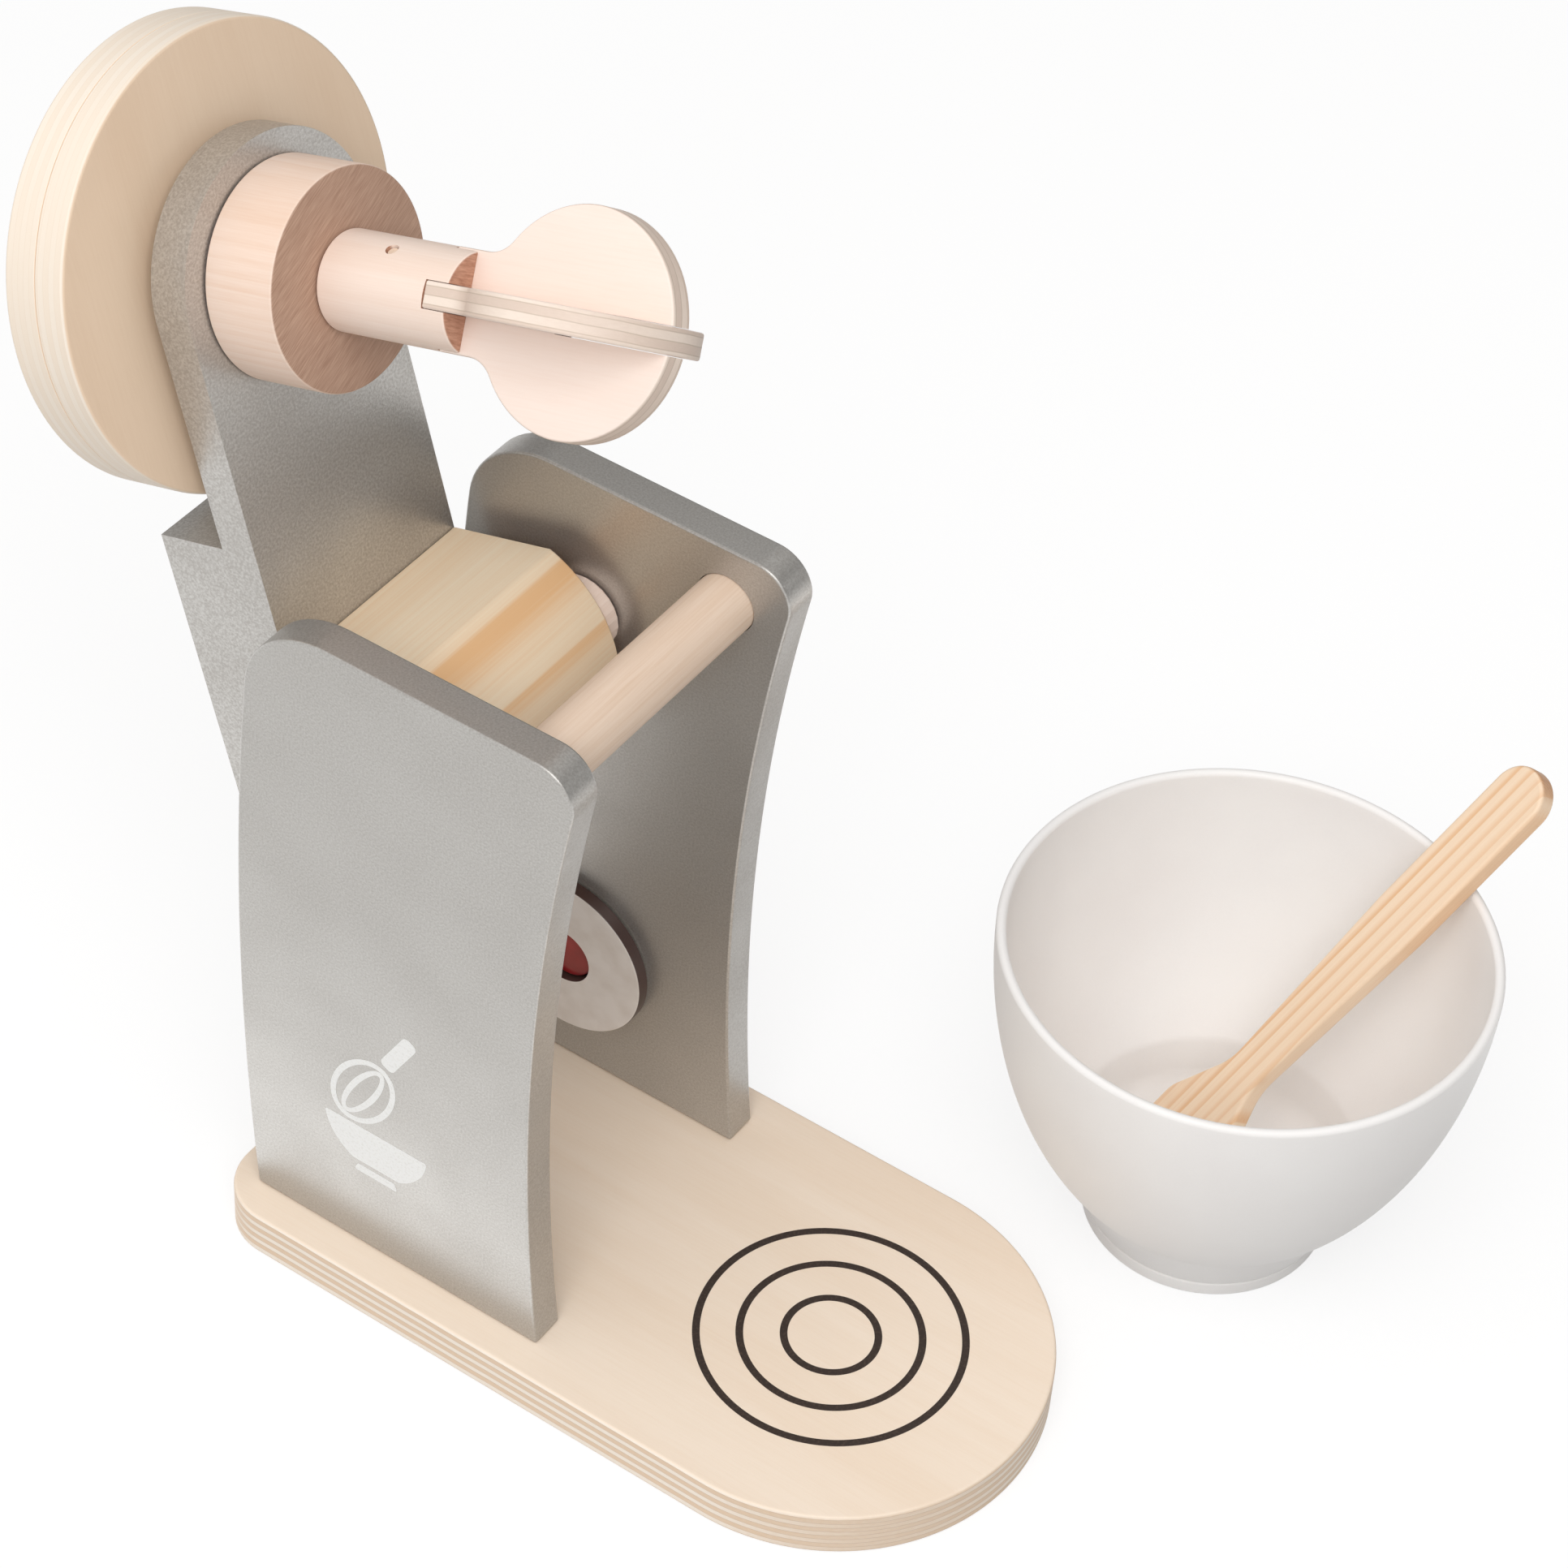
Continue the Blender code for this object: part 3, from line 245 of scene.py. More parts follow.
@dataclass(frozen=True)
class Finish:
    """What every finish has: its name and the plain values of its shader."""

    name: str
    roughness: float = 0.5
    metallic: float = 0.0
    coat: float = 0.0
    coat_roughness: float = 0.2

    def material(self, piece: str, place: Matrix) -> bpy.types.Material:
        """Return the finish's material for one piece.

        Args:
            piece: Name of the piece.
            place: The piece's own frame, in which its pattern lies.

        Returns:
            A material whose shader has the plain values and the finish's own pattern.
        """
        material = bpy.data.materials.new(f"{self.name}_{piece}")
        material.use_nodes = True
        tree = material.node_tree
        shader = tree.nodes["Principled BSDF"]
        shader.inputs["Roughness"].default_value = self.roughness
        shader.inputs["Metallic"].default_value = self.metallic
        shader.inputs["Coat Weight"].default_value = self.coat
        shader.inputs["Coat Roughness"].default_value = self.coat_roughness
        back = place.inverted()
        turn = tuple(back.to_euler())
        there = {"Vector": add_node(tree, "TexCoord", output="Object"), "Location": tuple(back.translation)}
        where = add_node(tree, "Mapping", {**there, "Rotation": turn}, vector_type="POINT")
        normal = {"Vector": add_node(tree, "TexCoord", output="Normal"), "Rotation": turn}
        self.paint(Canvas(tree, shader, where, add_node(tree, "Mapping", normal, vector_type="VECTOR")))
        return material

    def paint(self, canvas: Canvas) -> None:
        """Add the finish's pattern; each finish has its own."""
        raise NotImplementedError


@dataclass(frozen=True)
class SolidWood(Finish):
    """Sanded wood: growth rings about a far pith, fibre streaks, short pores and darker end grain."""

    pale: str = "#F0DCC0"
    dark: str = "#D8B088"
    end: str = "#B08860"
    end_dark: str = "#96704C"
    fibre: Along = Along.X
    pith: Point = (0.0, 60 * MM)
    ring_width: float = 3 * MM
    ring_depth: float = 0.6
    ring_sharpness: float = 0.55
    faintest_ring: float = 0.35
    # Shares of a ring's width between which its late wood is darkest
    darkest: Point = (0.9, 0.93)
    streak_depth: float = 0.25
    streak_width: float = 0.5 * MM
    streak_length: float = 25 * MM
    wander: float = 2 * MM
    tone_drift: float = 0.25
    ray_turn: float = 35.0
    ray_width: float = 0.4 * MM
    ray_length: float = 2.5 * MM
    sway: Pattern = Pattern((7.0, 30.0, 30.0), detail=1.0)

    def paint(self, canvas: Canvas) -> None:
        """Add rings, streaks, pores and end grain.

        Args:
            canvas: The piece's material.
        """
        tree = canvas.tree
        add = partial(add_node, tree)
        turn = tuple(math.radians(angle) for angle in self.fibre.value)
        along = add("Mapping", {"Vector": canvas.where, "Rotation": turn}, vector_type="POINT")
        normal = add("Mapping", {"Vector": canvas.facing, "Rotation": turn}, vector_type="VECTOR")
        rings = self.rings(tree, along)
        across = 1 / self.streak_width
        streaks = Pattern((1 / self.streak_length, across, across), 0.35, 0.75, self.streak_depth, 3.0, 0.6)
        fibres = streaks.noise(tree, along)
        drift = Pattern((8.0, 60.0, 60.0), 0.35, 0.7, self.tone_drift, 1.0)
        tone = drift.share(tree, drift.noise(tree, along))
        marks = add("Math", {0: rings, 1: streaks.share(tree, fibres)}, operation="ADD")
        share = add("Math", {0: marks, 1: tone}, operation="ADD", use_clamp=True)
        side = blend(tree, share, self.pale, self.dark)
        cut = smooth_step(tree, towards(tree, normal, "X"), 0.55, 0.95)
        colour = blend(tree, cut, side, self.end_grain(tree, along, rings))
        canvas.dress(colour, fibres, 0.25, 0.05 * MM)

    def end_grain(self, tree: Tree, along: Socket, rings: Socket) -> Socket:
        """Add the end grain: short rays and pores on a darker ground.

        Args:
            tree: The material's node tree.
            along: Place in the piece with the fibre along X.
            rings: The growth rings' share.

        Returns:
            The end grain's colour.
        """
        add = partial(add_node, tree)
        tilted = add("Mapping", {"Vector": along, "Rotation": (math.radians(self.ray_turn), 0.0, 0.0)})
        rays = Pattern((100.0, 1 / self.ray_width, 1 / self.ray_length), 0.32, 0.68, 1.0, 3.0, 0.6)
        marks = {0: rings, 1: 0.5, 2: rays.share(tree, rays.noise(tree, tilted))}
        share = add("Math", marks, operation="MULTIPLY_ADD", use_clamp=True)
        return blend(tree, share, self.end, self.end_dark)

    def rings(self, tree: Tree, along: Socket) -> Socket:
        """Add the growth rings.

        Args:
            tree: The material's node tree.
            along: Place in the piece with the fibre along X.

        Returns:
            A share that runs from nought in the early wood to the ring depth in the late wood.
        """
        add = partial(add_node, tree)
        sway = self.sway.noise(tree, along, 1)
        centred = add("VectorMath", {0: sway, 1: (0.5, 0.5, 0.5)}, operation="SUBTRACT")
        reach = (0.0, 2 * self.wander, 2 * self.wander)
        swayed = add("VectorMath", {0: centred, 1: reach, 2: along}, operation="MULTIPLY_ADD")
        from_pith = add("VectorMath", {0: swayed, 1: (0.0, *self.pith)}, operation="SUBTRACT")
        across = add("VectorMath", {0: from_pith, 1: (0.0, 1.0, 1.0)}, operation="MULTIPLY")
        distance = add("VectorMath", {0: across}, 1, operation="LENGTH")
        turns = add("Math", {0: distance, 1: self.ring_width}, operation="DIVIDE")
        share = add("Math", {0: turns}, operation="FRACT")
        number = add("Math", {0: turns}, operation="FLOOR")
        strength = add("TexWhiteNoise", {"W": number}, noise_dimensions="1D")
        rise = smooth_step(tree, share, self.ring_sharpness, self.darkest[0])
        fall = smooth_step(tree, share, self.darkest[1], 1.0, 1.0, 0.0)
        late = add("Math", {0: rise, 1: fall}, operation="MULTIPLY")
        faintest = self.ring_depth * self.faintest_ring
        depth = add("MapRange", {"Value": strength, "To Min": faintest, "To Max": self.ring_depth})
        return add("Math", {0: late, 1: depth}, operation="MULTIPLY")


@dataclass(frozen=True)
class Plywood(Finish):
    """Sanded plywood: a plain face veneer, and cut edges that show the plies by turns."""

    face: str = "#F3E0C8"
    face_dark: str = "#E4C8A6"
    edge_long: str = "#F6E6D0"
    edge_end: str = "#D6B894"
    glue: str = "#A98260"
    ply: float = 1.3 * MM
    first_ply: float = 0.0
    glue_share: float = 0.1
    glue_depth: float = 0.6
    grain_turn: float = -90.0
    waviness: float = 0.35 * MM
    fine: Pattern = Pattern((80.0, 1800.0, 1800.0), 0.4, 0.8, 0.35, 3.0, 0.65)
    broad: Pattern = Pattern((9.0, 70.0, 70.0), 0.35, 0.7, 0.5, 2.0, distortion=0.6)
    waves: Pattern = Pattern((90.0, 90.0, 90.0), detail=1.0)
    cut_grain: Pattern = Pattern((700.0, 700.0, 2500.0))

    def paint(self, canvas: Canvas) -> None:
        """Add the face veneer and the striped edges.

        Args:
            canvas: The piece's material.
        """
        tree = canvas.tree
        add = partial(add_node, tree)
        turn = (0.0, 0.0, math.radians(self.grain_turn))
        along = add("Mapping", {"Vector": canvas.where, "Rotation": turn})
        normal = add("Mapping", {"Vector": canvas.facing, "Rotation": turn}, vector_type="VECTOR")
        fine = self.fine.noise(tree, along)
        broad = self.broad.share(tree, self.broad.noise(tree, along))
        share = add("Math", {0: self.fine.share(tree, fine), 1: broad}, operation="ADD", use_clamp=True)
        veneer = blend(tree, share, self.face, self.face_dark)
        flat = smooth_step(tree, towards(tree, normal, "Z"), 0.6, 0.9)
        colour = blend(tree, flat, self.edge(tree, along, normal), veneer)
        canvas.dress(colour, fine, 0.2, 0.04 * MM)

    def edge(self, tree: Tree, place: Socket, normal: Socket) -> Socket:
        """Add the cut edge: each ply shows its end or its side, by where the edge looks.

        Args:
            tree: The material's node tree.
            place: Place in the board with the grain along X.
            normal: Normal in the board.

        Returns:
            The edge's colour.
        """
        add = partial(add_node, tree)
        height = add("SeparateXYZ", {0: place}, "Z")
        waves = {0: self.waves.noise(tree, place), 1: self.waviness, 2: height}
        wavy = add("Math", waves, operation="MULTIPLY_ADD")
        from_first = add("Math", {0: wavy, 1: self.first_ply + self.waviness / 2}, operation="SUBTRACT")
        plies = add("Math", {0: from_first, 1: self.ply}, operation="DIVIDE")
        by_turns = add("Math", {0: plies, 1: 1.0}, operation="PINGPONG")
        odd = add("Math", {0: by_turns, 1: 0.5}, operation="GREATER_THAN")
        looks = {2: towards(tree, normal, "Y"), 3: towards(tree, normal, "X")}
        end_share = add("Mix", {0: odd, **looks}, data_type="FLOAT")
        grain = add("Math", {0: self.cut_grain.noise(tree, place), 1: 0.5}, operation="SUBTRACT")
        share = add("Math", {0: grain, 1: 0.5, 2: end_share}, operation="MULTIPLY_ADD", use_clamp=True)
        wood = blend(tree, share, self.edge_long, self.edge_end)
        shifted = add("Math", {0: plies, 1: 0.5}, operation="ADD")
        from_glue = add("Math", {0: shifted, 1: 0.5}, operation="PINGPONG")
        line = smooth_step(tree, from_glue, 0.0, self.glue_share, self.glue_depth, 0.0)
        return blend(tree, line, wood, self.glue)


@dataclass(frozen=True)
class MetallicSpray(Finish):
    """Aluminium flakes in a thin clear lacquer: each fleck turns its own way, so the gloss is grainy."""

    silver: str = "#C2C0BC"
    shaded: str = "#A9A5A0"
    # Real flakes are about 0.05 mm; these are drawn at least ten times as coarse so that they show
    fleck: float = 0.5 * MM
    fleck_depth: float = 0.8
    unevenness: float = 0.15
    tilt: float = 0.4

    def paint(self, canvas: Canvas) -> None:
        """Add the flecks, their tilt and the uneven spray.

        Args:
            canvas: The piece's material.
        """
        tree = canvas.tree
        add = partial(add_node, tree)
        flecks = Pattern((1 / self.fleck,) * 3, 0.35, 0.68, self.fleck_depth, 2.0, 0.7)
        clouds = Pattern((45.0, 45.0, 45.0), 0.3, 0.7, self.unevenness, 3.0)
        fleck = flecks.noise(tree, canvas.where)
        cloud = clouds.noise(tree, canvas.where)
        both = {0: flecks.share(tree, fleck), 1: clouds.share(tree, cloud)}
        share = add("Math", both, operation="ADD", use_clamp=True)
        canvas.dress(blend(tree, share, self.silver, self.shaded), fleck, self.tilt, 0.06 * MM)
        levels = {"Value": cloud, "From Min": clouds.low, "From Max": clouds.high}
        rough = add("MapRange", {**levels, "To Min": self.roughness - 0.05, "To Max": self.roughness + 0.06})
        tree.links.new(rough, canvas.shader.inputs["Roughness"])


@dataclass(frozen=True)
class Lacquer(Finish):
    """Opaque lacquer on turned or cut wood: slight brush mottle, and where asked a charred cut edge."""

    colour: str = "#A51E22"
    mottled: str = "#8C1519"
    edge: str = "#8C1519"
    mottle: Pattern = Pattern((160.0, 160.0, 160.0), 0.35, 0.7, 1.0, 3.0)

    def paint(self, canvas: Canvas) -> None:
        """Add the mottle and the edge's own colour.

        Args:
            canvas: The piece's material.
        """
        tree = canvas.tree
        mottle = self.mottle.noise(tree, canvas.where)
        face = blend(tree, self.mottle.share(tree, mottle), self.colour, self.mottled)
        flat = smooth_step(tree, towards(tree, canvas.facing, "Z"), 0.5, 0.85)
        canvas.dress(blend(tree, flat, self.edge, face), mottle, 0.15, 0.05 * MM)


@dataclass(frozen=True)
class MouldedPlastic(Finish):
    """Matte moulded plastic: a fine even grain and a very slight drift of tone."""

    colour: str = "#FBF9F7"
    mottled: str = "#F6F3F1"
    # A spark-etched mould has a grain of about 0.1 mm; it is drawn at 0.4 mm so that it shows
    grain: float = 0.4 * MM
    drift: Pattern = Pattern((30.0, 30.0, 30.0))

    def paint(self, canvas: Canvas) -> None:
        """Add the mould's grain and the drift of tone.

        Args:
            canvas: The piece's material.
        """
        add = partial(add_node, canvas.tree)
        grain = Pattern((1 / self.grain,) * 3).noise(canvas.tree, canvas.where)
        drift = self.drift.noise(canvas.tree, canvas.where)
        both = add("Math", {0: grain, 1: 0.3, 2: drift}, operation="MULTIPLY_ADD")
        share = add("MapRange", {"Value": both, "From Min": 0.45, "From Max": 0.9})
        canvas.dress(blend(canvas.tree, share, self.colour, self.mottled), grain, 0.12, 0.05 * MM)


@dataclass(frozen=True)
class ThinLayer(Finish):
    """A thin even layer, printed or plated, whose tone varies a little from speck to speck."""

    colour: str = "#33261F"
    speck: str = "#4A3A30"
    specks: Pattern = Pattern((1500.0, 1500.0, 1500.0), 0.5, 0.75)

    def paint(self, canvas: Canvas) -> None:
        """Add the specks.

        Args:
            canvas: The piece's material.
        """
        share = self.specks.share(canvas.tree, self.specks.noise(canvas.tree, canvas.where))
        canvas.dress(blend(canvas.tree, share, self.colour, self.speck))


# Birch plywood, sanded: near-white veneer, honey-coloured end plies and thin glue lines
BASE_PLYWOOD = Plywood(
    "sanded_birch_plywood_base", roughness=0.55, face="#F9E8D5", face_dark="#F2DCC4",
    edge_long="#FAEEE0", edge_end="#E6CCB0", glue="#B08A6C", ply=1.33 * MM, glue_depth=0.45,
)
# The same plywood as the hand wheel: its rim was sanded so fine that the plies hardly show
WHEEL_PLYWOOD = Plywood(
    "sanded_birch_plywood_wheel", roughness=0.55, face="#F1D8BD", face_dark="#E9CDB0",
    edge_long="#F8ECDD", edge_end="#F5E6D4", glue="#D9BE9E", ply=1.48 * MM, glue_depth=0.15,
)
# Basswood plywood of the whisk blades: three pale plies that hardly differ
BLADE_PLYWOOD = Plywood(
    "sanded_basswood_plywood", roughness=0.55, face="#F8E7DC", face_dark="#F2DCCE",
    edge_long="#F2E2D4", edge_end="#DECABB", glue="#B9A590", ply=1.8 * MM, first_ply=-2.7 * MM,
)
# Silver spray paint on the plywood panels: aluminium flakes, broad soft gloss
PANEL_SPRAY = MetallicSpray("silver_spray_paint", roughness=0.36, metallic=0.7)
# The same paint on the head, with coarser flecks; its silver and darker fleck tone are painted paler than the
# panels', painted light that brightens the arm
HEAD_SPRAY = MetallicSpray(
    "silver_spray_paint_head", roughness=0.33, metallic=0.7, silver="#CFCDC9", shaded="#B2AEA9",
    fleck=0.6 * MM, fleck_depth=1.0, unevenness=0.25, tilt=0.7,
)
# Beech, turned and sanded: pinkish, fine rays, much darker end grain
HUB_BEECH = SolidWood(
    "turned_beech_hub", roughness=0.6, pale="#F6DFCF", dark="#EAC8AF", end="#C8A690", end_dark="#AC8873",
    ray_width=0.3 * MM, ray_length=6 * MM, ray_turn=-22.0, fibre=Along.Z, pith=(70 * MM, 25 * MM),
    ring_width=2.4 * MM, ring_depth=0.35, ring_sharpness=0.3, streak_depth=0.35, streak_width=0.4 * MM,
    streak_length=12 * MM, wander=1.2 * MM,
)
# Basswood, turned: almost white with short faint fibres
SHAFT_BASSWOOD = SolidWood(
    "turned_basswood", roughness=0.6, pale="#F8E5D8", dark="#EED4C2", end="#C89A82", end_dark="#A87860",
    fibre=Along.Z, pith=(50 * MM, 20 * MM), ring_width=4 * MM, ring_depth=0.3, ring_sharpness=0.3,
    streak_depth=0.3, streak_width=0.35 * MM, streak_length=14 * MM,
)
# Pine, lacquered: orange late wood in broad bands, clear pale early wood
BLOCK_PINE = SolidWood(
    "lacquered_pine_block", roughness=0.5, coat=0.15, pale="#F6E4C8", dark="#EBBE8C", end="#DDB284",
    end_dark="#C08850", fibre=Along.Z, pith=(-12 * MM, 46 * MM), ring_width=9 * MM, ring_depth=0.8,
    ring_sharpness=0.45, streak_depth=0.3, streak_width=0.6 * MM, streak_length=40 * MM,
    wander=1.6 * MM, tone_drift=0.25,
)
# The same pine cut on the quarter for the spatula: straight thin stripes
SPATULA_PINE = SolidWood(
    "quarter_sawn_pine", roughness=0.5, coat=0.1, pale="#F9E0C4", dark="#EBBB8C", end="#DDB08A",
    end_dark="#C9966C", fibre=Along.X, pith=(400 * MM, 30 * MM), ring_width=3.1 * MM, ring_depth=0.9,
    ring_sharpness=0.42, streak_depth=0.2, streak_width=0.5 * MM, streak_length=30 * MM,
    wander=0.5 * MM, tone_drift=0.15,
)
# Ramin dowel: plain straw colour, dashed with short pores
DOWEL_WOOD = SolidWood(
    "planed_ramin_dowel", roughness=0.55, pale="#F0DAC6", dark="#DDBDA0", end="#C09A7C",
    fibre=Along.Z, pith=(90 * MM, 0.0), ring_width=3 * MM, ring_depth=0.25, ring_sharpness=0.3,
    streak_depth=0.45, streak_width=0.5 * MM, streak_length=18 * MM,
)
# Nitro lacquer on turned wood: deep red under a hard clear gloss
RED_LACQUER = Lacquer("red_gloss_lacquer", roughness=0.28, coat=0.5, coat_roughness=0.12)
# White lacquer on laser-cut plywood: the cut edge stays charred brown
WHITE_LACQUER = Lacquer(
    "white_lacquer_laser_cut", roughness=0.35, coat=0.3, colour="#EFE8E2", mottled="#E4DBD3", edge="#4A3530",
)
# The same white, brushed over the knob's mark: no bare edge
MARK_LACQUER = Lacquer(
    "white_gloss_mark", roughness=0.35, colour="#F2EFEA", mottled="#E6E1DA", edge="#E6E1DA",
)
# Polypropylene from a spark-etched mould: soft even sheen, no mirror
BOWL_PLASTIC = MouldedPlastic("matte_moulded_bowl", roughness=0.48)
# Screen-printed ink: flat and even, a little thinner where the screen left specks
RING_INK = ThinLayer("dark_brown_screen_ink", roughness=0.6)
PICTOGRAM_INK = ThinLayer("white_screen_ink", roughness=0.5, colour="#FAFAF8", speck="#EDECE8")
# Bright zinc on steel screws: hard metallic shine, dulled in blotches
SCREW_ZINC = ThinLayer(
    "bright_zinc_plate", roughness=0.35, metallic=1.0, colour="#CFCBC2", speck="#A7A39A",
    specks=Pattern((1200.0, 1200.0, 1200.0), detail=3.0),
)


def move(x: float = 0.0, y: float = 0.0, z: float = 0.0) -> Matrix:
    """Return a translation."""
    return Matrix.Translation((x, y, z))


def turned(angle: float, axis: str) -> Matrix:
    """Return a rotation about one axis."""
    return Matrix.Rotation(angle, 4, axis)


# Turns local Z, the axis of every turned and flat piece, to +X, with local X going to +Y
ALONG_X = Matrix(((0, 0, 1, 0), (1, 0, 0, 0), (0, 1, 0, 0), (0, 0, 0, 1)))


def arc(centre: Point, radius: float, start: float, end: float, steps: int = 24) -> Outline:
    """Return points along an arc, its ends included.

    Args:
        centre: The arc's centre.
        radius: Its radius.
        start: Angle of the first point.
        end: Angle of the last point.
        steps: How many chords it has.

    Returns:
        The points in order.
    """
    angles = [start + (end - start) * step / steps for step in range(steps + 1)]
    return [(centre[0] + radius * math.cos(angle), centre[1] + radius * math.sin(angle)) for angle in angles]


def rounded(points: Outline, radii: list[float], steps: int = 8, closed: bool = True) -> Outline:
    """Return an outline with an arc of its own radius at each corner.

    Args:
        points: The corners.
        radii: A radius for each, nought for a sharp one.
        steps: How many chords each arc has.
        closed: Whether the outline returns to its first point.

    Returns:
        The rounded outline.
    """
    result: Outline = []
    last = len(points) - 1
    for index, (point, radius) in enumerate(zip(points, radii)):
        corner = Vector(point)
        if radius <= 0 or (not closed and index in (0, last)):
            result.append(point)
            continue
        before = Vector(points[index - 1]) - corner
        after = Vector(points[(index + 1) % len(points)]) - corner
        half = before.angle(after) / 2
        centre = corner + (before.normalized() + after.normalized()).normalized() * (radius / math.sin(half))
        start = corner + before.normalized() * (radius / math.tan(half)) - centre
        end = corner + after.normalized() * (radius / math.tan(half)) - centre
        sweep = start.angle_signed(end)
        for step in range(steps + 1):
            spoke = start.copy()
            spoke.rotate(Matrix.Rotation(-sweep * step / steps, 2))
            result.append(tuple(centre + spoke))
    return result


def skin_mesh(name: str, rings: list[list[tuple[float, float, float]]], ends: Ends) -> bpy.types.Mesh:
    """Return the mesh of a skin over rings of points.

    Args:
        name: Name of the mesh.
        rings: Rings of equally many points in order; a ring may be one point repeated.
        ends: How the first and last rings are closed.

    Returns:
        A closed mesh.
    """
    mesh = bpy.data.meshes.new(name)
    shape = bmesh.new()
    loops = []
    for ring in rings:
        if ring[0] == ring[1]:
            loops.append([shape.verts.new(ring[0])] * len(ring))
        else:
            loops.append([shape.verts.new(point) for point in ring])
    pairs = list(zip(loops, loops[1:]))
    if ends is Ends.CAPPED:
        shape.faces.new(loops[0])
        shape.faces.new(loops[-1])
    elif ends is Ends.JOINED:
        pairs.append((loops[-1], loops[0]))
    for ring, following in pairs:
        for step in range(len(ring)):
            after = (step + 1) % len(ring)
            corners = (ring[step], ring[after], following[after], following[step])
            shape.faces.new(tuple(dict.fromkeys(corners)))
    bmesh.ops.recalc_face_normals(shape, faces=shape.faces)
    shape.to_mesh(mesh)
    shape.free()
    return mesh


def board_mesh(name: str, outline: Outline, low: float, high: float) -> bpy.types.Mesh:
    """Return the mesh of a board: an outline in local XY between two heights."""
    return skin_mesh(name, [[(x, y, z) for x, y in outline] for z in (low, high)], Ends.CAPPED)


def turned_mesh(name: str, profile: Outline, steps: int) -> bpy.types.Mesh:
    """Return the mesh of a piece turned about local Z.

    Args:
        name: Name of the mesh.
        profile: Radius and height of each point; it ends on the axis or closes on itself.
        steps: How many sides the turned piece has.

    Returns:
        A closed mesh.
    """
    angles = [math.tau * step / steps for step in range(steps)]
    rings = [[(radius * math.cos(a), radius * math.sin(a), z) for a in angles] for radius, z in profile]
    return skin_mesh(name, rings, Ends.POINTED if profile[0][0] <= 0 else Ends.JOINED)


# Mouth of a countersunk screw: a cone between two radii under a short straight lip
SINK_RIM = 3.7 * MM
SINK_FLOOR = 1.9 * MM
SINK_DEPTH = 2.9 * MM
SINK_LIP = 0.7 * MM
SINK_STEPS = 32


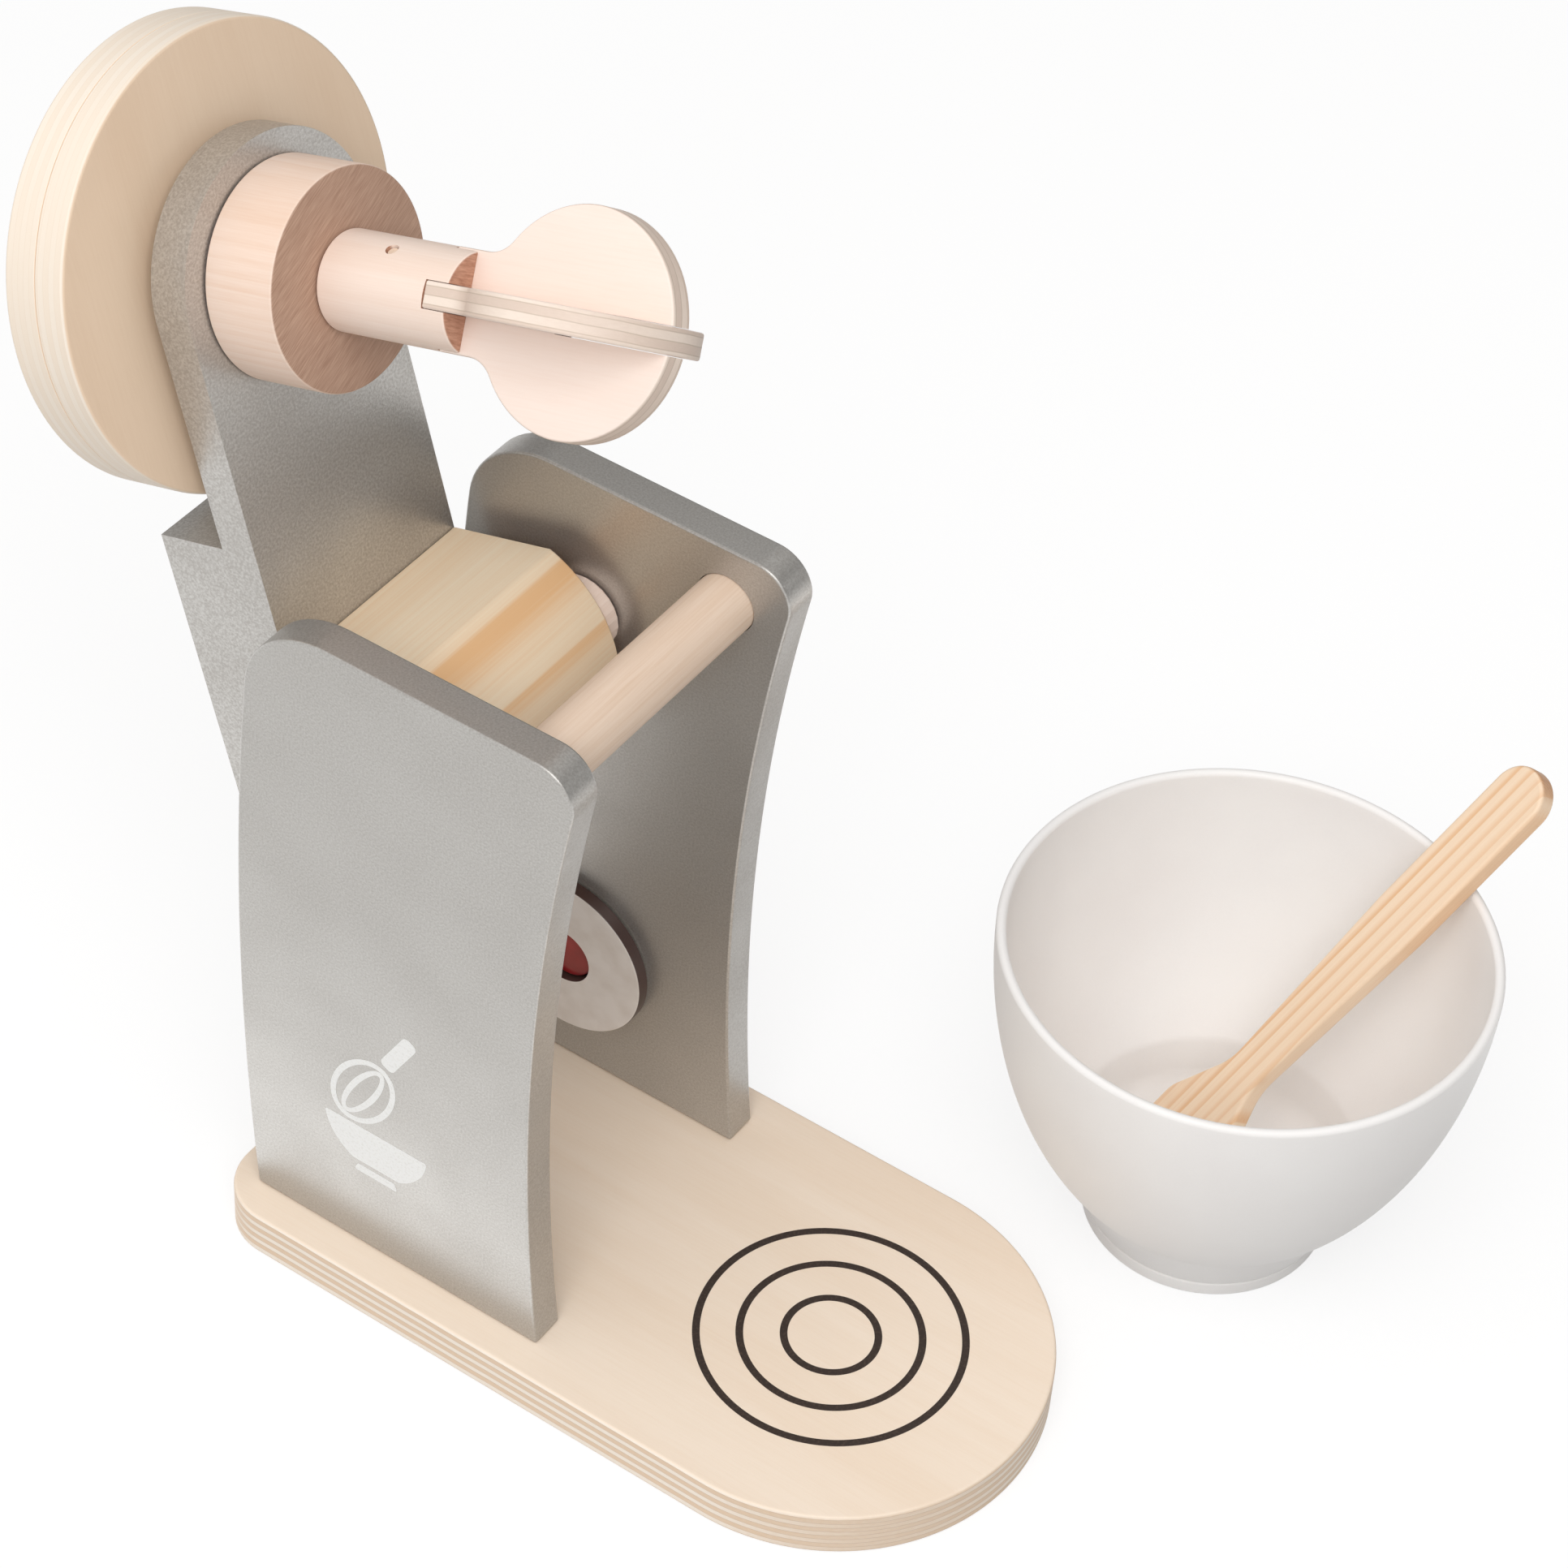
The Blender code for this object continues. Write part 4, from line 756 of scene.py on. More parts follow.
@dataclass
class Piece:
    """One visible piece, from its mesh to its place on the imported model."""

    name: str
    mesh: bpy.types.Mesh
    place: Matrix
    thing: bpy.types.Object = field(init=False)
    cutters: list[bpy.types.Object] = field(default_factory=list)

    def __post_init__(self) -> None:
        """Make the object in the scene."""
        self.thing = bpy.data.objects.new(self.name, self.mesh)
        bpy.context.scene.collection.objects.link(self.thing)
        self.thing.matrix_world = self.place

    @classmethod
    def board(cls, name: str, outline: Outline, low: float, high: float, place: Matrix) -> Piece:
        """Return a piece cut from a board."""
        return cls(name, board_mesh(name, outline, low, high), place)

    @classmethod
    def turned(cls, name: str, profile: Outline, steps: int, place: Matrix) -> Piece:
        """Return a turned piece."""
        return cls(name, turned_mesh(name, profile, steps), place)

    def ease(self, width: float, segments: int = 4) -> Piece:
        """Round the sharp edges.

        Args:
            width: Width of the rounding.
            segments: How many facets it has.

        Returns:
            The piece itself.
        """
        bevel = self.thing.modifiers.new("eased_edges", "BEVEL")
        bevel.width = width
        bevel.segments = segments
        bevel.limit_method = "ANGLE"
        bevel.angle_limit = SHARP_EDGE_ANGLE
        return self

    def combine(self, mesh: bpy.types.Mesh, place: Matrix, operation: str = "DIFFERENCE") -> Piece:
        """Cut the piece with another mesh, or join it on.

        Args:
            mesh: The other mesh.
            place: Its place in the world.
            operation: DIFFERENCE to cut, UNION to join.

        Returns:
            The piece itself.
        """
        other = bpy.data.objects.new(mesh.name, mesh)
        bpy.context.scene.collection.objects.link(other)
        other.matrix_world = place
        self.cutters.append(other)
        boolean = self.thing.modifiers.new(mesh.name, "BOOLEAN")
        boolean.operation = operation
        boolean.solver = "EXACT"
        boolean.object = other
        return self

    def bore(self, radius: float, low: float, high: float, place: Matrix, steps: int = 48) -> Piece:
        """Bore a round hole.

        Args:
            radius: Its radius.
            low: Where it starts along the place's Z.
            high: Where it ends.
            place: Its place in the world.
            steps: How many sides it has.

        Returns:
            The piece itself.
        """
        profile = [(0.0, high), (radius, high), (radius, low), (0.0, low)]
        return self.combine(turned_mesh(f"{self.name}_bore", profile, steps), place)

    def countersink(self, place: Matrix) -> Piece:
        """Sink a screw's mouth from the place's origin along its Z.

        Args:
            place: Its place in the world.

        Returns:
            The piece itself.
        """
        cone = [(0.0, SINK_DEPTH), (SINK_FLOOR, SINK_DEPTH), (SINK_RIM, SINK_LIP)]
        mouth = cone + [(SINK_RIM, -MM), (0.0, -MM)]
        return self.combine(turned_mesh(f"{self.name}_countersink", mouth, SINK_STEPS), place)

    def finish(self, finish: Finish, body: Body, slot: Slot, *nodes: str) -> bpy.types.Object:
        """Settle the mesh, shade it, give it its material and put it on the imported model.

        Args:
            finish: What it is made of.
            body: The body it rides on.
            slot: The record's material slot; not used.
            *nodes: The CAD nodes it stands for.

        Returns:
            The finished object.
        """
        bpy.context.view_layer.update()
        if self.thing.modifiers:
            graph = bpy.context.evaluated_depsgraph_get()
            settled = bpy.data.meshes.new_from_object(self.thing.evaluated_get(graph))
            self.thing.modifiers.clear()
            self.thing.data = settled
        for cutter in self.cutters:
            bpy.data.objects.remove(cutter)
        self.thing.data.transform(self.place)
        self.thing.matrix_world = Matrix()
        self.thing.data.name = self.name
        self.thing.data.shade_smooth()
        self.thing.data.set_sharp_from_angle(angle=SMOOTH_ANGLE)
        weighted = self.thing.modifiers.new("flat_faces_stay_flat", "WEIGHTED_NORMAL")
        weighted.keep_sharp = True
        self.thing.data.materials.clear()
        self.thing.data.materials.append(finish.material(self.name, self.place))
        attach(self.thing, body.value)
        if nodes:
            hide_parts(*nodes)
        return self.thing


def rod_profile(radius: float, low: float, high: float, eased: float) -> Outline:
    """Return the profile of a solid rod with rounded ends, top to bottom."""
    points = [(0.0, high), (radius, high), (radius, low), (0.0, low)]
    return rounded(points, [0.0, eased, eased, 0.0], steps=4, closed=False)


def ring_profile(
    outer: float, inner: float, low: float, high: float, eased_low: float, eased_high: float
) -> Outline:
    """Return the profile of a bored disc with its own rounding at each outer edge."""
    points = [(inner, high), (outer, high), (outer, low), (inner, low)]
    return rounded(points, [0.0, eased_high, eased_low, 0.0], steps=5, closed=False)


@dataclass(frozen=True)
class MixerLayout:
    """Places that the sub-assemblies share."""

    base_top: float = 12.0 * MM
    panel_foot: float = 12.3 * MM
    panel_inner: float = 33 * MM
    panel_outer: float = 41.5 * MM
    panel_top: float = 185.8 * MM
    pivot_y: float = 95.8 * MM
    pivot_z: float = 151.2 * MM
    pivot_radius: float = 4.5 * MM
    front_dowel: Point = (61 * MM, 171.5 * MM)
    stop_dowel: Point = (104.92 * MM, 109.81 * MM)
    dowel_radius: float = 7 * MM
    knob: Point = (96.5 * MM, 47.6 * MM)
    tilt: float = math.radians(16.2)
    whisk_up_arm: float = 95.8 * MM
    arm_face: float = -27.6 * MM
    arm_back: float = -36.6 * MM

    @property
    def dowels(self) -> dict[str, tuple[Point, float]]:
        """Y and Z and the radius of each dowel between the panels, by its CAD node."""
        return {
            "front_cross_dowel": (self.front_dowel, self.dowel_radius),
            "rear_stop_dowel": (self.stop_dowel, self.dowel_radius),
            "pivot_dowel": ((self.pivot_y, self.pivot_z), self.pivot_radius),
        }

    @property
    def head(self) -> Matrix:
        """The raised head's frame: Y up the arm, Z out of its front, origin on the pivot."""
        return move(0, self.pivot_y, self.pivot_z) @ turned(math.pi / 2 - self.tilt, "X")

    @property
    def whisk(self) -> Matrix:
        """The whisk's frame: Z along its axis, in the plane of the pivot."""
        return self.head @ move(0, self.whisk_up_arm)


@dataclass
class BaseBoard:
    """Base board with a half-round front, countersunk underneath, with three printed rings."""

    layout: MixerLayout
    width: float = 100 * MM
    reach_back: float = 136 * MM
    rear_corner: float = 14 * MM
    eased: float = 0.8 * MM
    screw_side: float = 37.25 * MM
    screw_front: float = 64.2 * MM
    screw_rear: float = 117.4 * MM
    ring_radii: tuple[float, ...] = (29.9 * MM, 20.3 * MM, 10.5 * MM)
    ring_width: float = 1.7 * MM
    ink_height: float = 0.04 * MM

    def build(self) -> None:
        """Build the board and its print."""
        half = self.width / 2
        rear = [(half, self.reach_back), (-half, self.reach_back)]
        front = arc((0, 0), half, math.pi, math.tau, steps=96)
        outline = rounded(rear + front, [self.rear_corner] * 2 + [0.0] * len(front), steps=14)
        board = Piece.board("base_board_sanded", outline, 0, self.layout.base_top, Matrix())
        board.ease(self.eased)
        for side in (-self.screw_side, self.screw_side):
            for back in (self.screw_front, self.screw_rear):
                board.countersink(move(side, back))
        board.finish(BASE_PLYWOOD, Body.STAND, Slot.PLYWOOD, "base_board")
        for number, radius in enumerate(self.ring_radii, start=1):
            self.ring(f"printed_ring_{number}", radius)

    def ring(self, name: str, radius: float) -> None:
        """Build one printed ring as a film of ink.

        Args:
            name: Name of the piece.
            radius: Radius of the line's middle.
        """
        top = self.layout.base_top
        outer = radius + self.ring_width / 2
        inner = radius - self.ring_width / 2
        film = [(inner, top + self.ink_height), (outer, top + self.ink_height), (outer, top), (inner, top)]
        Piece.turned(name, film, 128, Matrix()).finish(RING_INK, Body.STAND, Slot.PLYWOOD)


@dataclass
class SidePanels:
    """The two sprayed cheeks with their bores, and a generic print on the left one."""

    layout: MixerLayout
    waist_y: float = 54 * MM
    waist_height: float = 65 * MM
    front_arc: float = 560 * MM
    depth_at_waist: float = 77.4 * MM
    bulge_height: float = 72 * MM
    rear_arc: float = 850 * MM
    front_corner: float = 9 * MM
    rear_corner: float = 21 * MM
    eased: float = 0.6 * MM
    bore_depth: float = 5 * MM
    bore_gap: float = 0.2 * MM
    knob_bore: float = 7.5 * MM
    print_middle: Point = (94.5 * MM, 55 * MM)
    ink_height: float = 0.05 * MM
    whisk_middle: Point = (-3.4 * MM, 7.6 * MM)
    whisk_lean: float = math.radians(-30)
    wire_width: float = 1.5 * MM
    wire_loops: tuple[Point, ...] = ((7.6 * MM, 12.0 * MM), (3.4 * MM, 10.4 * MM))
    # The rest is in millimetres from the print's middle, towards the front and up
    printed_rim: float = -3.0
    printed_floor: float = -15.5
    printed_radius: float = 14.0
    printed_foot: tuple[Point, ...] = ((-5.0, -16.8), (5.0, -16.8), (6.0, -19.0), (-6.0, -19.0))
    printed_handle: tuple[Point, ...] = ((8.1, 32.4), (11.5, 30.4), (4.6, 18.4), (1.2, 20.4))

    def edge_y(self, middle: float, arc_height: float, radius: float, height: float) -> float:
        """Return how far back a panel edge lies at a height above the foot."""
        return middle - radius + math.sqrt(radius**2 - (height - arc_height) ** 2)

    def outline(self) -> Outline:
        """Return the panel's outline: Y, then height above the panel's foot.

        Returns:
            The corners in order, the top ones rounded.
        """
        height = self.layout.panel_top - self.layout.panel_foot
        steps = 40
        levels = [height * step / steps for step in range(steps + 1)]
        rear_y = self.waist_y + self.depth_at_waist
        front = [(self.edge_y(self.waist_y, self.waist_height, self.front_arc, z), z) for z in levels]
        rear = [(self.edge_y(rear_y, self.bulge_height, self.rear_arc, z), z) for z in levels]
        rear_side = [point for point in rear[1:-1] if point[1] < height - self.rear_corner]
        front_side = [point for point in front[1:-1] if point[1] < height - self.front_corner][::-1]
        points = [front[0], rear[0]] + rear_side + [rear[-1], front[-1]] + front_side
        radii = [0.0] * len(points)
        radii[2 + len(rear_side)] = self.rear_corner
        radii[3 + len(rear_side)] = self.front_corner
        return rounded(points, radii, steps=14)

    def build(self) -> None:
        """Build both panels and the print."""
        self.panel("left_side_panel", -1)
        self.panel("right_side_panel", 1)
        self.pictogram()

    def panel(self, node: str, side: int) -> None:
        """Build one panel.

        Args:
            node: The CAD node it stands for.
            side: -1 for the left panel, 1 for the right one.
        """
        inner = side * self.layout.panel_inner
        outer = side * self.layout.panel_outer
        place = move(z=self.layout.panel_foot) @ ALONG_X
        panel = Piece.board(f"{node}_sprayed", self.outline(), min(inner, outer), max(inner, outer), place)
        panel.ease(self.eased, segments=3)
        ends = sorted((inner - side * MM, inner + side * self.bore_depth))
        for place, radius in self.layout.dowels.values():
            panel.bore(radius + self.bore_gap, *ends, move(0, *place) @ ALONG_X)
        if side > 0:
            through = (inner - MM, outer + MM)
            panel.bore(self.knob_bore, *through, move(0, *self.layout.knob) @ ALONG_X)
        panel.finish(PANEL_SPRAY, Body.STAND, Slot.SILVER, node)

    def pictogram(self) -> None:
        """Build the print: a mixing bowl under a balloon whisk, as films of white ink."""
        face = turned(-math.pi / 2, "Y") @ turned(-math.pi / 2, "Z")
        place = move(-self.layout.panel_outer, *self.print_middle) @ face
        rim = self.printed_rim * MM
        floor = self.printed_floor * MM
        bowl = arc((0, rim), self.printed_radius * MM, -math.pi * 0.97, -math.pi * 0.03, steps=32)
        bowl = [(x, max(y, floor)) for x, y in bowl]
        foot = [(x * MM, y * MM) for x, y in self.printed_foot]
        handle = [(x * MM, y * MM) for x, y in self.printed_handle]
        shapes = {
            "printed_bowl": rounded(bowl, [0.6 * MM] + [0.0] * (len(bowl) - 2) + [0.6 * MM], steps=4),
            "printed_foot": rounded(foot, [0.5 * MM] * 4, steps=4),
            "printed_handle": rounded(handle, [1.4 * MM] * 4, steps=5),
        }
        for name, outline in shapes.items():
            film = Piece.board(name, outline, 0, self.ink_height, place)
            film.finish(PICTOGRAM_INK, Body.STAND, Slot.WHITE)
        whisk = place @ move(*self.whisk_middle) @ turned(self.whisk_lean, "Z")
        for number, (half_width, reach) in enumerate(self.wire_loops, start=1):
            self.wire_loop(f"printed_wire_{number}", half_width, reach, whisk)

    def wire_loop(self, name: str, half_width: float, reach: float, place: Matrix) -> None:
        """Build one wire loop of the printed whisk as a closed band.

        Args:
            name: Name of the piece.
            half_width: Half the loop's width.
            reach: Half its length.
            place: Its place in the world.
        """
        angles = [math.tau * step / 48 for step in range(48)]
        top = self.ink_height
        inner = (half_width - self.wire_width, reach - self.wire_width)
        corners = ((half_width, reach, 0), (half_width, reach, top), (*inner, top), (*inner, 0))
        rings = [[(wide * math.sin(a), long * math.cos(a), z) for a in angles] for wide, long, z in corners]
        Piece(name, skin_mesh(name, rings, Ends.JOINED), place).finish(PICTOGRAM_INK, Body.STAND, Slot.WHITE)


@dataclass
class Dowels:
    """The two dowels between the panels and the pivot dowel."""

    layout: MixerLayout
    half_length: float = 37.7 * MM
    eased: float = 0.6 * MM

    def build(self) -> None:
        """Build the dowels."""
        for node, (place, radius) in self.layout.dowels.items():
            profile = rod_profile(radius, -self.half_length, self.half_length, self.eased)
            rod = Piece.turned(f"{node}_planed", profile, 64, move(0, *place) @ ALONG_X)
            rod.finish(DOWEL_WOOD, Body.STAND, Slot.DOWEL, node)


@dataclass
class Head:
    """The tilting head: arm and back plate painted as one, and the turned hinge block."""

    layout: MixerLayout
    arm_width: float = 56 * MM
    tail: float = 44.5 * MM
    tail_corner: float = 3 * MM
    plate_back: float = -53.6 * MM
    plate_top: float = 44.3 * MM
    eased: float = 1.2 * MM
    axle_bore: float = 5.3 * MM
    block_radius: float = 28 * MM
    block_below: float = 5.2 * MM
    block_off_arm: float = 10.5 * MM
    block_half_flat: float = 23 * MM
    block_eased: float = 0.6 * MM
    pivot_bore: float = 4.8 * MM
    screw_side: float = 14 * MM

    def build(self) -> None:
        """Build the painted board and the block."""
        self.painted_board()
        self.hinge_block()

    def painted_board(self) -> None:
        """Build the arm with the plate glued behind it, under one coat of paint."""
        layout = self.layout
        half = self.arm_width / 2
        foot = [(-half, -self.tail), (half, -self.tail)]
        top = arc((0, layout.whisk_up_arm), half, 0, math.pi, steps=72)
        outline = rounded(foot + top, [self.tail_corner] * 2 + [0.0] * len(top))
        arm = Piece.board("head_board_sprayed", outline, layout.arm_back, layout.arm_face, layout.head)
        plate_outline = rounded(
            foot + [(half, self.plate_top), (-half, self.plate_top)], [self.tail_corner] * 2 + [0.0, 0.0]
        )
        plate = board_mesh("head_plate_joined", plate_outline, self.plate_back, layout.arm_back + 0.01 * MM)
        arm.combine(plate, layout.head, "UNION")
        arm.ease(self.eased, segments=5)
        arm.bore(self.axle_bore, layout.arm_back - MM, layout.arm_face + MM, layout.whisk)
        for x in (-self.screw_side, self.screw_side):
            arm.countersink(layout.head @ move(x, -self.block_below, self.plate_back))
        arm.finish(HEAD_SPRAY, Body.HEAD, Slot.SILVER, "head_arm", "head_back_plate")

    def hinge_block(self) -> None:
        """Build the pine block that turns about the pivot dowel."""
        layout = self.layout
        centre = (-self.block_below, layout.arm_face + self.block_off_arm)
        half_angle = math.asin(self.block_half_flat / self.block_radius)
        nose = arc(centre, self.block_radius, math.pi / 2 - half_angle, math.pi / 2 + half_angle, steps=48)
        seat = layout.arm_face + 0.05 * MM
        back = [(-self.block_below + side * self.block_half_flat, seat) for side in (-1, 1)]
        half = self.arm_width / 2
        block = Piece.board("hinge_block_lacquered", nose + back, -half, half, layout.head @ ALONG_X)
        block.ease(self.block_eased)
        block.bore(self.pivot_bore, -half - MM, half + MM, layout.head @ ALONG_X)
        block.finish(BLOCK_PINE, Body.HEAD, Slot.PINE, "hinge_block")


@dataclass
class WheelAndWhisk:
    """The hand wheel behind the arm and the hub, shaft and crossed blades before it."""

    layout: MixerLayout
    wheel_radius: float = 48.16 * MM
    wheel_front: float = -40.6 * MM
    wheel_joint: float = -48 * MM
    wheel_back: float = -56.3 * MM
    wheel_eased: float = 0.9 * MM
    joint_eased: float = 0.25 * MM
    glue_gap: float = 0.1 * MM
    grain_cross: float = 70.0
    bore: float = 5.3 * MM
    hub_radius: float = 22.8 * MM
    hub_front: float = -9.9 * MM
    hub_eased: float = 0.5 * MM
    arm_gap: float = 0.3 * MM
    shaft_radius: float = 10.3 * MM
    shaft_back: float = -9.6 * MM
    shaft_front: float = 22.8 * MM
    shaft_bore_depth: float = 22 * MM
    pin_radius: float = 1.1 * MM
    pin_from_hub: float = 15 * MM
    blade_thickness: float = 5.4 * MM
    blade_radius: float = 22.6 * MM
    blade_centre: float = 26.2 * MM
    slot_depth: float = 5.5 * MM
    blade_fillet: float = 7 * MM
    phase: float = math.radians(54)
    slot_gap: float = 0.12 * MM

    def build(self) -> None:
        """Build the wheel, the hub, the shaft and the blades."""
        whisk = self.layout.whisk
        seam = self.wheel_joint - self.glue_gap
        discs = (
            ("wheel_front_disc", self.wheel_joint, self.wheel_front, self.joint_eased, self.wheel_eased, 0.0),
            ("wheel_rear_disc", self.wheel_back, seam, self.wheel_eased, self.joint_eased, self.grain_cross),
        )
        for node, low, high, eased_low, eased_high, spin in discs:
            profile = ring_profile(self.wheel_radius, self.bore, low, high, eased_low, eased_high)
            disc = Piece.turned(f"{node}_sanded", profile, 160, whisk)
            grain = replace(WHEEL_PLYWOOD, grain_turn=WHEEL_PLYWOOD.grain_turn + spin, first_ply=low)
            disc.finish(grain, Body.WHISK, Slot.PLYWOOD, node)
        back = self.layout.arm_face + self.arm_gap
        hub = ring_profile(self.hub_radius, self.bore, back, self.hub_front, self.hub_eased, self.hub_eased)
        piece = Piece.turned("whisk_hub_sanded", hub, 128, whisk)
        piece.finish(HUB_BEECH, Body.WHISK, Slot.BEECH, "whisk_hub")
        self.shaft()
        self.blades()

    def shaft(self) -> None:
        """Build the shaft with its crossed slots and the pin's hole."""
        whisk = self.layout.whisk
        profile = rod_profile(self.shaft_radius, self.shaft_back, self.shaft_front, 0.5 * MM)
        shaft = Piece.turned("whisk_shaft_sanded", profile, 96, whisk)
        shaft.bore(self.bore, self.shaft_back - MM, self.shaft_back + self.shaft_bore_depth, whisk)
        across = turned(self.phase + math.pi / 4, "Z") @ move(z=self.shaft_back + self.pin_from_hub) @ ALONG_X
        reach = self.shaft_radius + MM
        shaft.bore(self.pin_radius + 0.3 * MM, -reach, reach, whisk @ across, steps=24)
        half = self.blade_thickness / 2 + self.slot_gap
        low = self.shaft_front - self.slot_depth
        slot = [(-reach, -half), (reach, -half), (reach, half), (-reach, half)]
        for quarter in range(2):
            place = whisk @ turned(self.phase + quarter * math.pi / 2, "Z")
            shaft.combine(board_mesh(f"shaft_slot_{quarter}", slot, low, self.shaft_front + MM), place)
        shaft.finish(SHAFT_BASSWOOD, Body.WHISK, Slot.BASSWOOD, "whisk_shaft")

    def blade_outline(self) -> Outline:
        """Return a blade's outline: a straight root, hollow shoulders and a round paddle.

        Returns:
            The corners in order, along the whisk's axis in Y.
        """
        root = self.shaft_front - self.slot_depth + 0.2 * MM
        centre = self.shaft_front + self.blade_centre
        side = self.shaft_radius + self.blade_fillet
        below = math.sqrt((self.blade_radius + self.blade_fillet) ** 2 - side**2)
        angle = math.atan2(below, side)
        right = arc((side, centre - below), self.blade_fillet, math.pi, math.pi - angle, steps=12)
        paddle = arc((0, centre), self.blade_radius, -angle, math.pi + angle, steps=72)
        left = [(-x, y) for x, y in reversed(right)]
        return [(-self.shaft_radius, root), (self.shaft_radius, root)] + right + paddle[1:-1] + left

    def blades(self) -> None:
        """Build the two blades, each slotted half-way to take the other."""
        root = self.shaft_front - self.slot_depth
        tip = self.shaft_front + self.blade_centre + self.blade_radius
        middle = (root + tip) / 2
        half = self.blade_thickness / 2
        slot_half = half + self.slot_gap
        for node, quarter, low, high in (
            ("whisk_blade_rooted", 0, middle, tip + MM),
            ("whisk_blade_crossing", 1, root - MM, middle + 0.1 * MM),
        ):
            spin = turned(self.phase + quarter * math.pi / 2, "Z")
            place = self.layout.whisk @ spin @ turned(math.pi / 2, "X")
            blade = Piece.board(f"{node}_sanded", self.blade_outline(), -half, half, place)
            blade.ease(0.5 * MM, segments=3)
            slot = [(-slot_half, low), (slot_half, low), (slot_half, high), (-slot_half, high)]
            blade.combine(board_mesh(f"{node}_slot", slot, -half - MM, half + MM), place)
            blade.finish(BLADE_PLYWOOD, Body.WHISK, Slot.BASSWOOD, node)


@dataclass
class ControlKnob:
    """The red knob outside the right panel, its axle and the white retaining disc inside."""

    layout: MixerLayout
    radius: float = 18 * MM
    thickness: float = 13 * MM
    crown: float = 2 * MM
    axle_radius: float = 7.2 * MM
    socket_depth: float = 8 * MM
    disc_radius: float = 21.6 * MM
    disc_thickness: float = 3.4 * MM
    axle_recess: float = 1.6 * MM
    mark_radius: float = 1.8 * MM
    mark_from_edge: float = 5.5 * MM
    shoulder: float = 3 * MM
    gap: float = 0.3 * MM

    def build(self) -> None:
        """Build the knob, its axle and the retaining disc."""
        place = move(0, *self.layout.knob) @ ALONG_X
        seat = self.layout.panel_outer + self.gap
        face = seat + self.thickness
        socket = self.axle_radius + self.gap
        socket_end = seat + self.socket_depth
        shares = (0.0, 0.2, 0.4, 0.6, 0.8, 1.0)
        crown = [(self.radius * share, face + self.crown * (1 - share**2)) for share in shares]
        points = crown + [(self.radius, seat), (socket, seat), (socket, socket_end), (0.0, socket_end)]
        radii = [0.0] * len(points)
        radii[len(crown) - 1] = self.shoulder
        knob = Piece.turned("knob_lacquered", rounded(points, radii, closed=False), 128, place)
        mark = place @ move(0, self.radius - self.mark_from_edge)
        knob.bore(self.mark_radius + 0.2 * MM, face - 4 * MM, face + 4 * MM, mark, steps=32)
        knob.finish(RED_LACQUER, Body.KNOB, Slot.RED, "knob")
        disc_back = self.layout.panel_inner - self.gap
        disc_face = disc_back - self.disc_thickness
        profile = rod_profile(self.axle_radius, disc_face + self.axle_recess, socket_end - self.gap, 0.6 * MM)
        axle = Piece.turned("knob_axle_lacquered", profile, 64, place)
        axle.finish(RED_LACQUER, Body.KNOB, Slot.RED, "knob_axle")
        profile = ring_profile(self.disc_radius, socket, disc_face, disc_back, 0.4 * MM, 0.4 * MM)
        disc = Piece.turned("knob_retaining_disc_lacquered", profile, 128, place)
        disc.finish(WHITE_LACQUER, Body.KNOB, Slot.WHITE, "knob_retaining_disc")


@dataclass
class MixingBowl:
    """Thin bowl on a low foot ring."""

    x: float = 94 * MM
    y: float = -42 * MM
    height: float = 86 * MM
    rim_radius: float = 56 * MM
    curve_depth: float = 87.6 * MM
    wall: float = 2.4 * MM
    foot_radius: float = 28.5 * MM
    foot_height: float = 3.8 * MM
    foot_wall: float = 3.2 * MM
    foot_recess: float = 2.2 * MM
    groove_height: float = 0.7 * MM
    groove_depth: float = 0.9 * MM
    hip_height: float = 16 * MM
    floor_height: float = 6 * MM
    floor_corner: float = 7 * MM
    curve_steps: int = 40

    @property
    def place(self) -> Matrix:
        """The bowl's frame: Z up its axis, origin under its foot."""
        return move(self.x, self.y)

    def curve(self, radius: float, depth: float, low: float, high: float) -> Outline:
        """Return points down an ellipse about the rim's level.

        Args:
            radius: The ellipse's radius at the rim.
            depth: Its depth below the rim.
            low: Lowest height.
            high: Highest height.

        Returns:
            Radius and height of each point, from high to low.
        """
        heights = [high + (low - high) * step / self.curve_steps for step in range(self.curve_steps + 1)]
        return [(radius * math.sqrt(1 - ((self.height - z) / depth) ** 2), z) for z in heights]

    def build(self) -> None:
        """Build the bowl."""
        lip = self.wall / 2
        outer = self.curve(self.rim_radius, self.curve_depth, self.hip_height, self.height - lip)
        thinner = (self.rim_radius - self.wall, self.curve_depth - self.wall, self.hip_height + self.wall)
        inner = self.curve(*thinner, self.height - lip)
        rim = arc((self.rim_radius - lip, self.height - lip), lip, math.pi, 0, steps=10)
        groove_top = self.foot_height + self.groove_height
        groove = self.foot_radius - self.groove_depth
        foot_inner = self.foot_radius - self.foot_wall
        foot = rounded(
            [
                (groove, self.foot_height), (self.foot_radius, self.foot_height), (self.foot_radius, 0.0),
                (foot_inner, 0.0), (foot_inner, self.foot_recess), (0.0, self.foot_recess),
            ],
            [0.0, 0.6 * MM, 0.6 * MM, 0.6 * MM, 0.0, 0.0], steps=4, closed=False,
        )
        corners = [(0.0, self.floor_height), (inner[-1][0] - self.wall, self.floor_height), inner[-1]]
        floor = rounded(corners, [0.0, self.floor_corner, 0.0], steps=12, closed=False)
        hip = [(self.foot_radius + 0.3 * MM, groove_top), (groove, groove_top)]
        profile = floor[:-1] + inner[::-1][:-1] + rim + outer[1:] + hip + foot
        bowl = Piece.turned("mixing_bowl_moulded", profile, 160, self.place)
        bowl.finish(BOWL_PLASTIC, Body.BOWL, Slot.BOWL, "mixing_bowl")


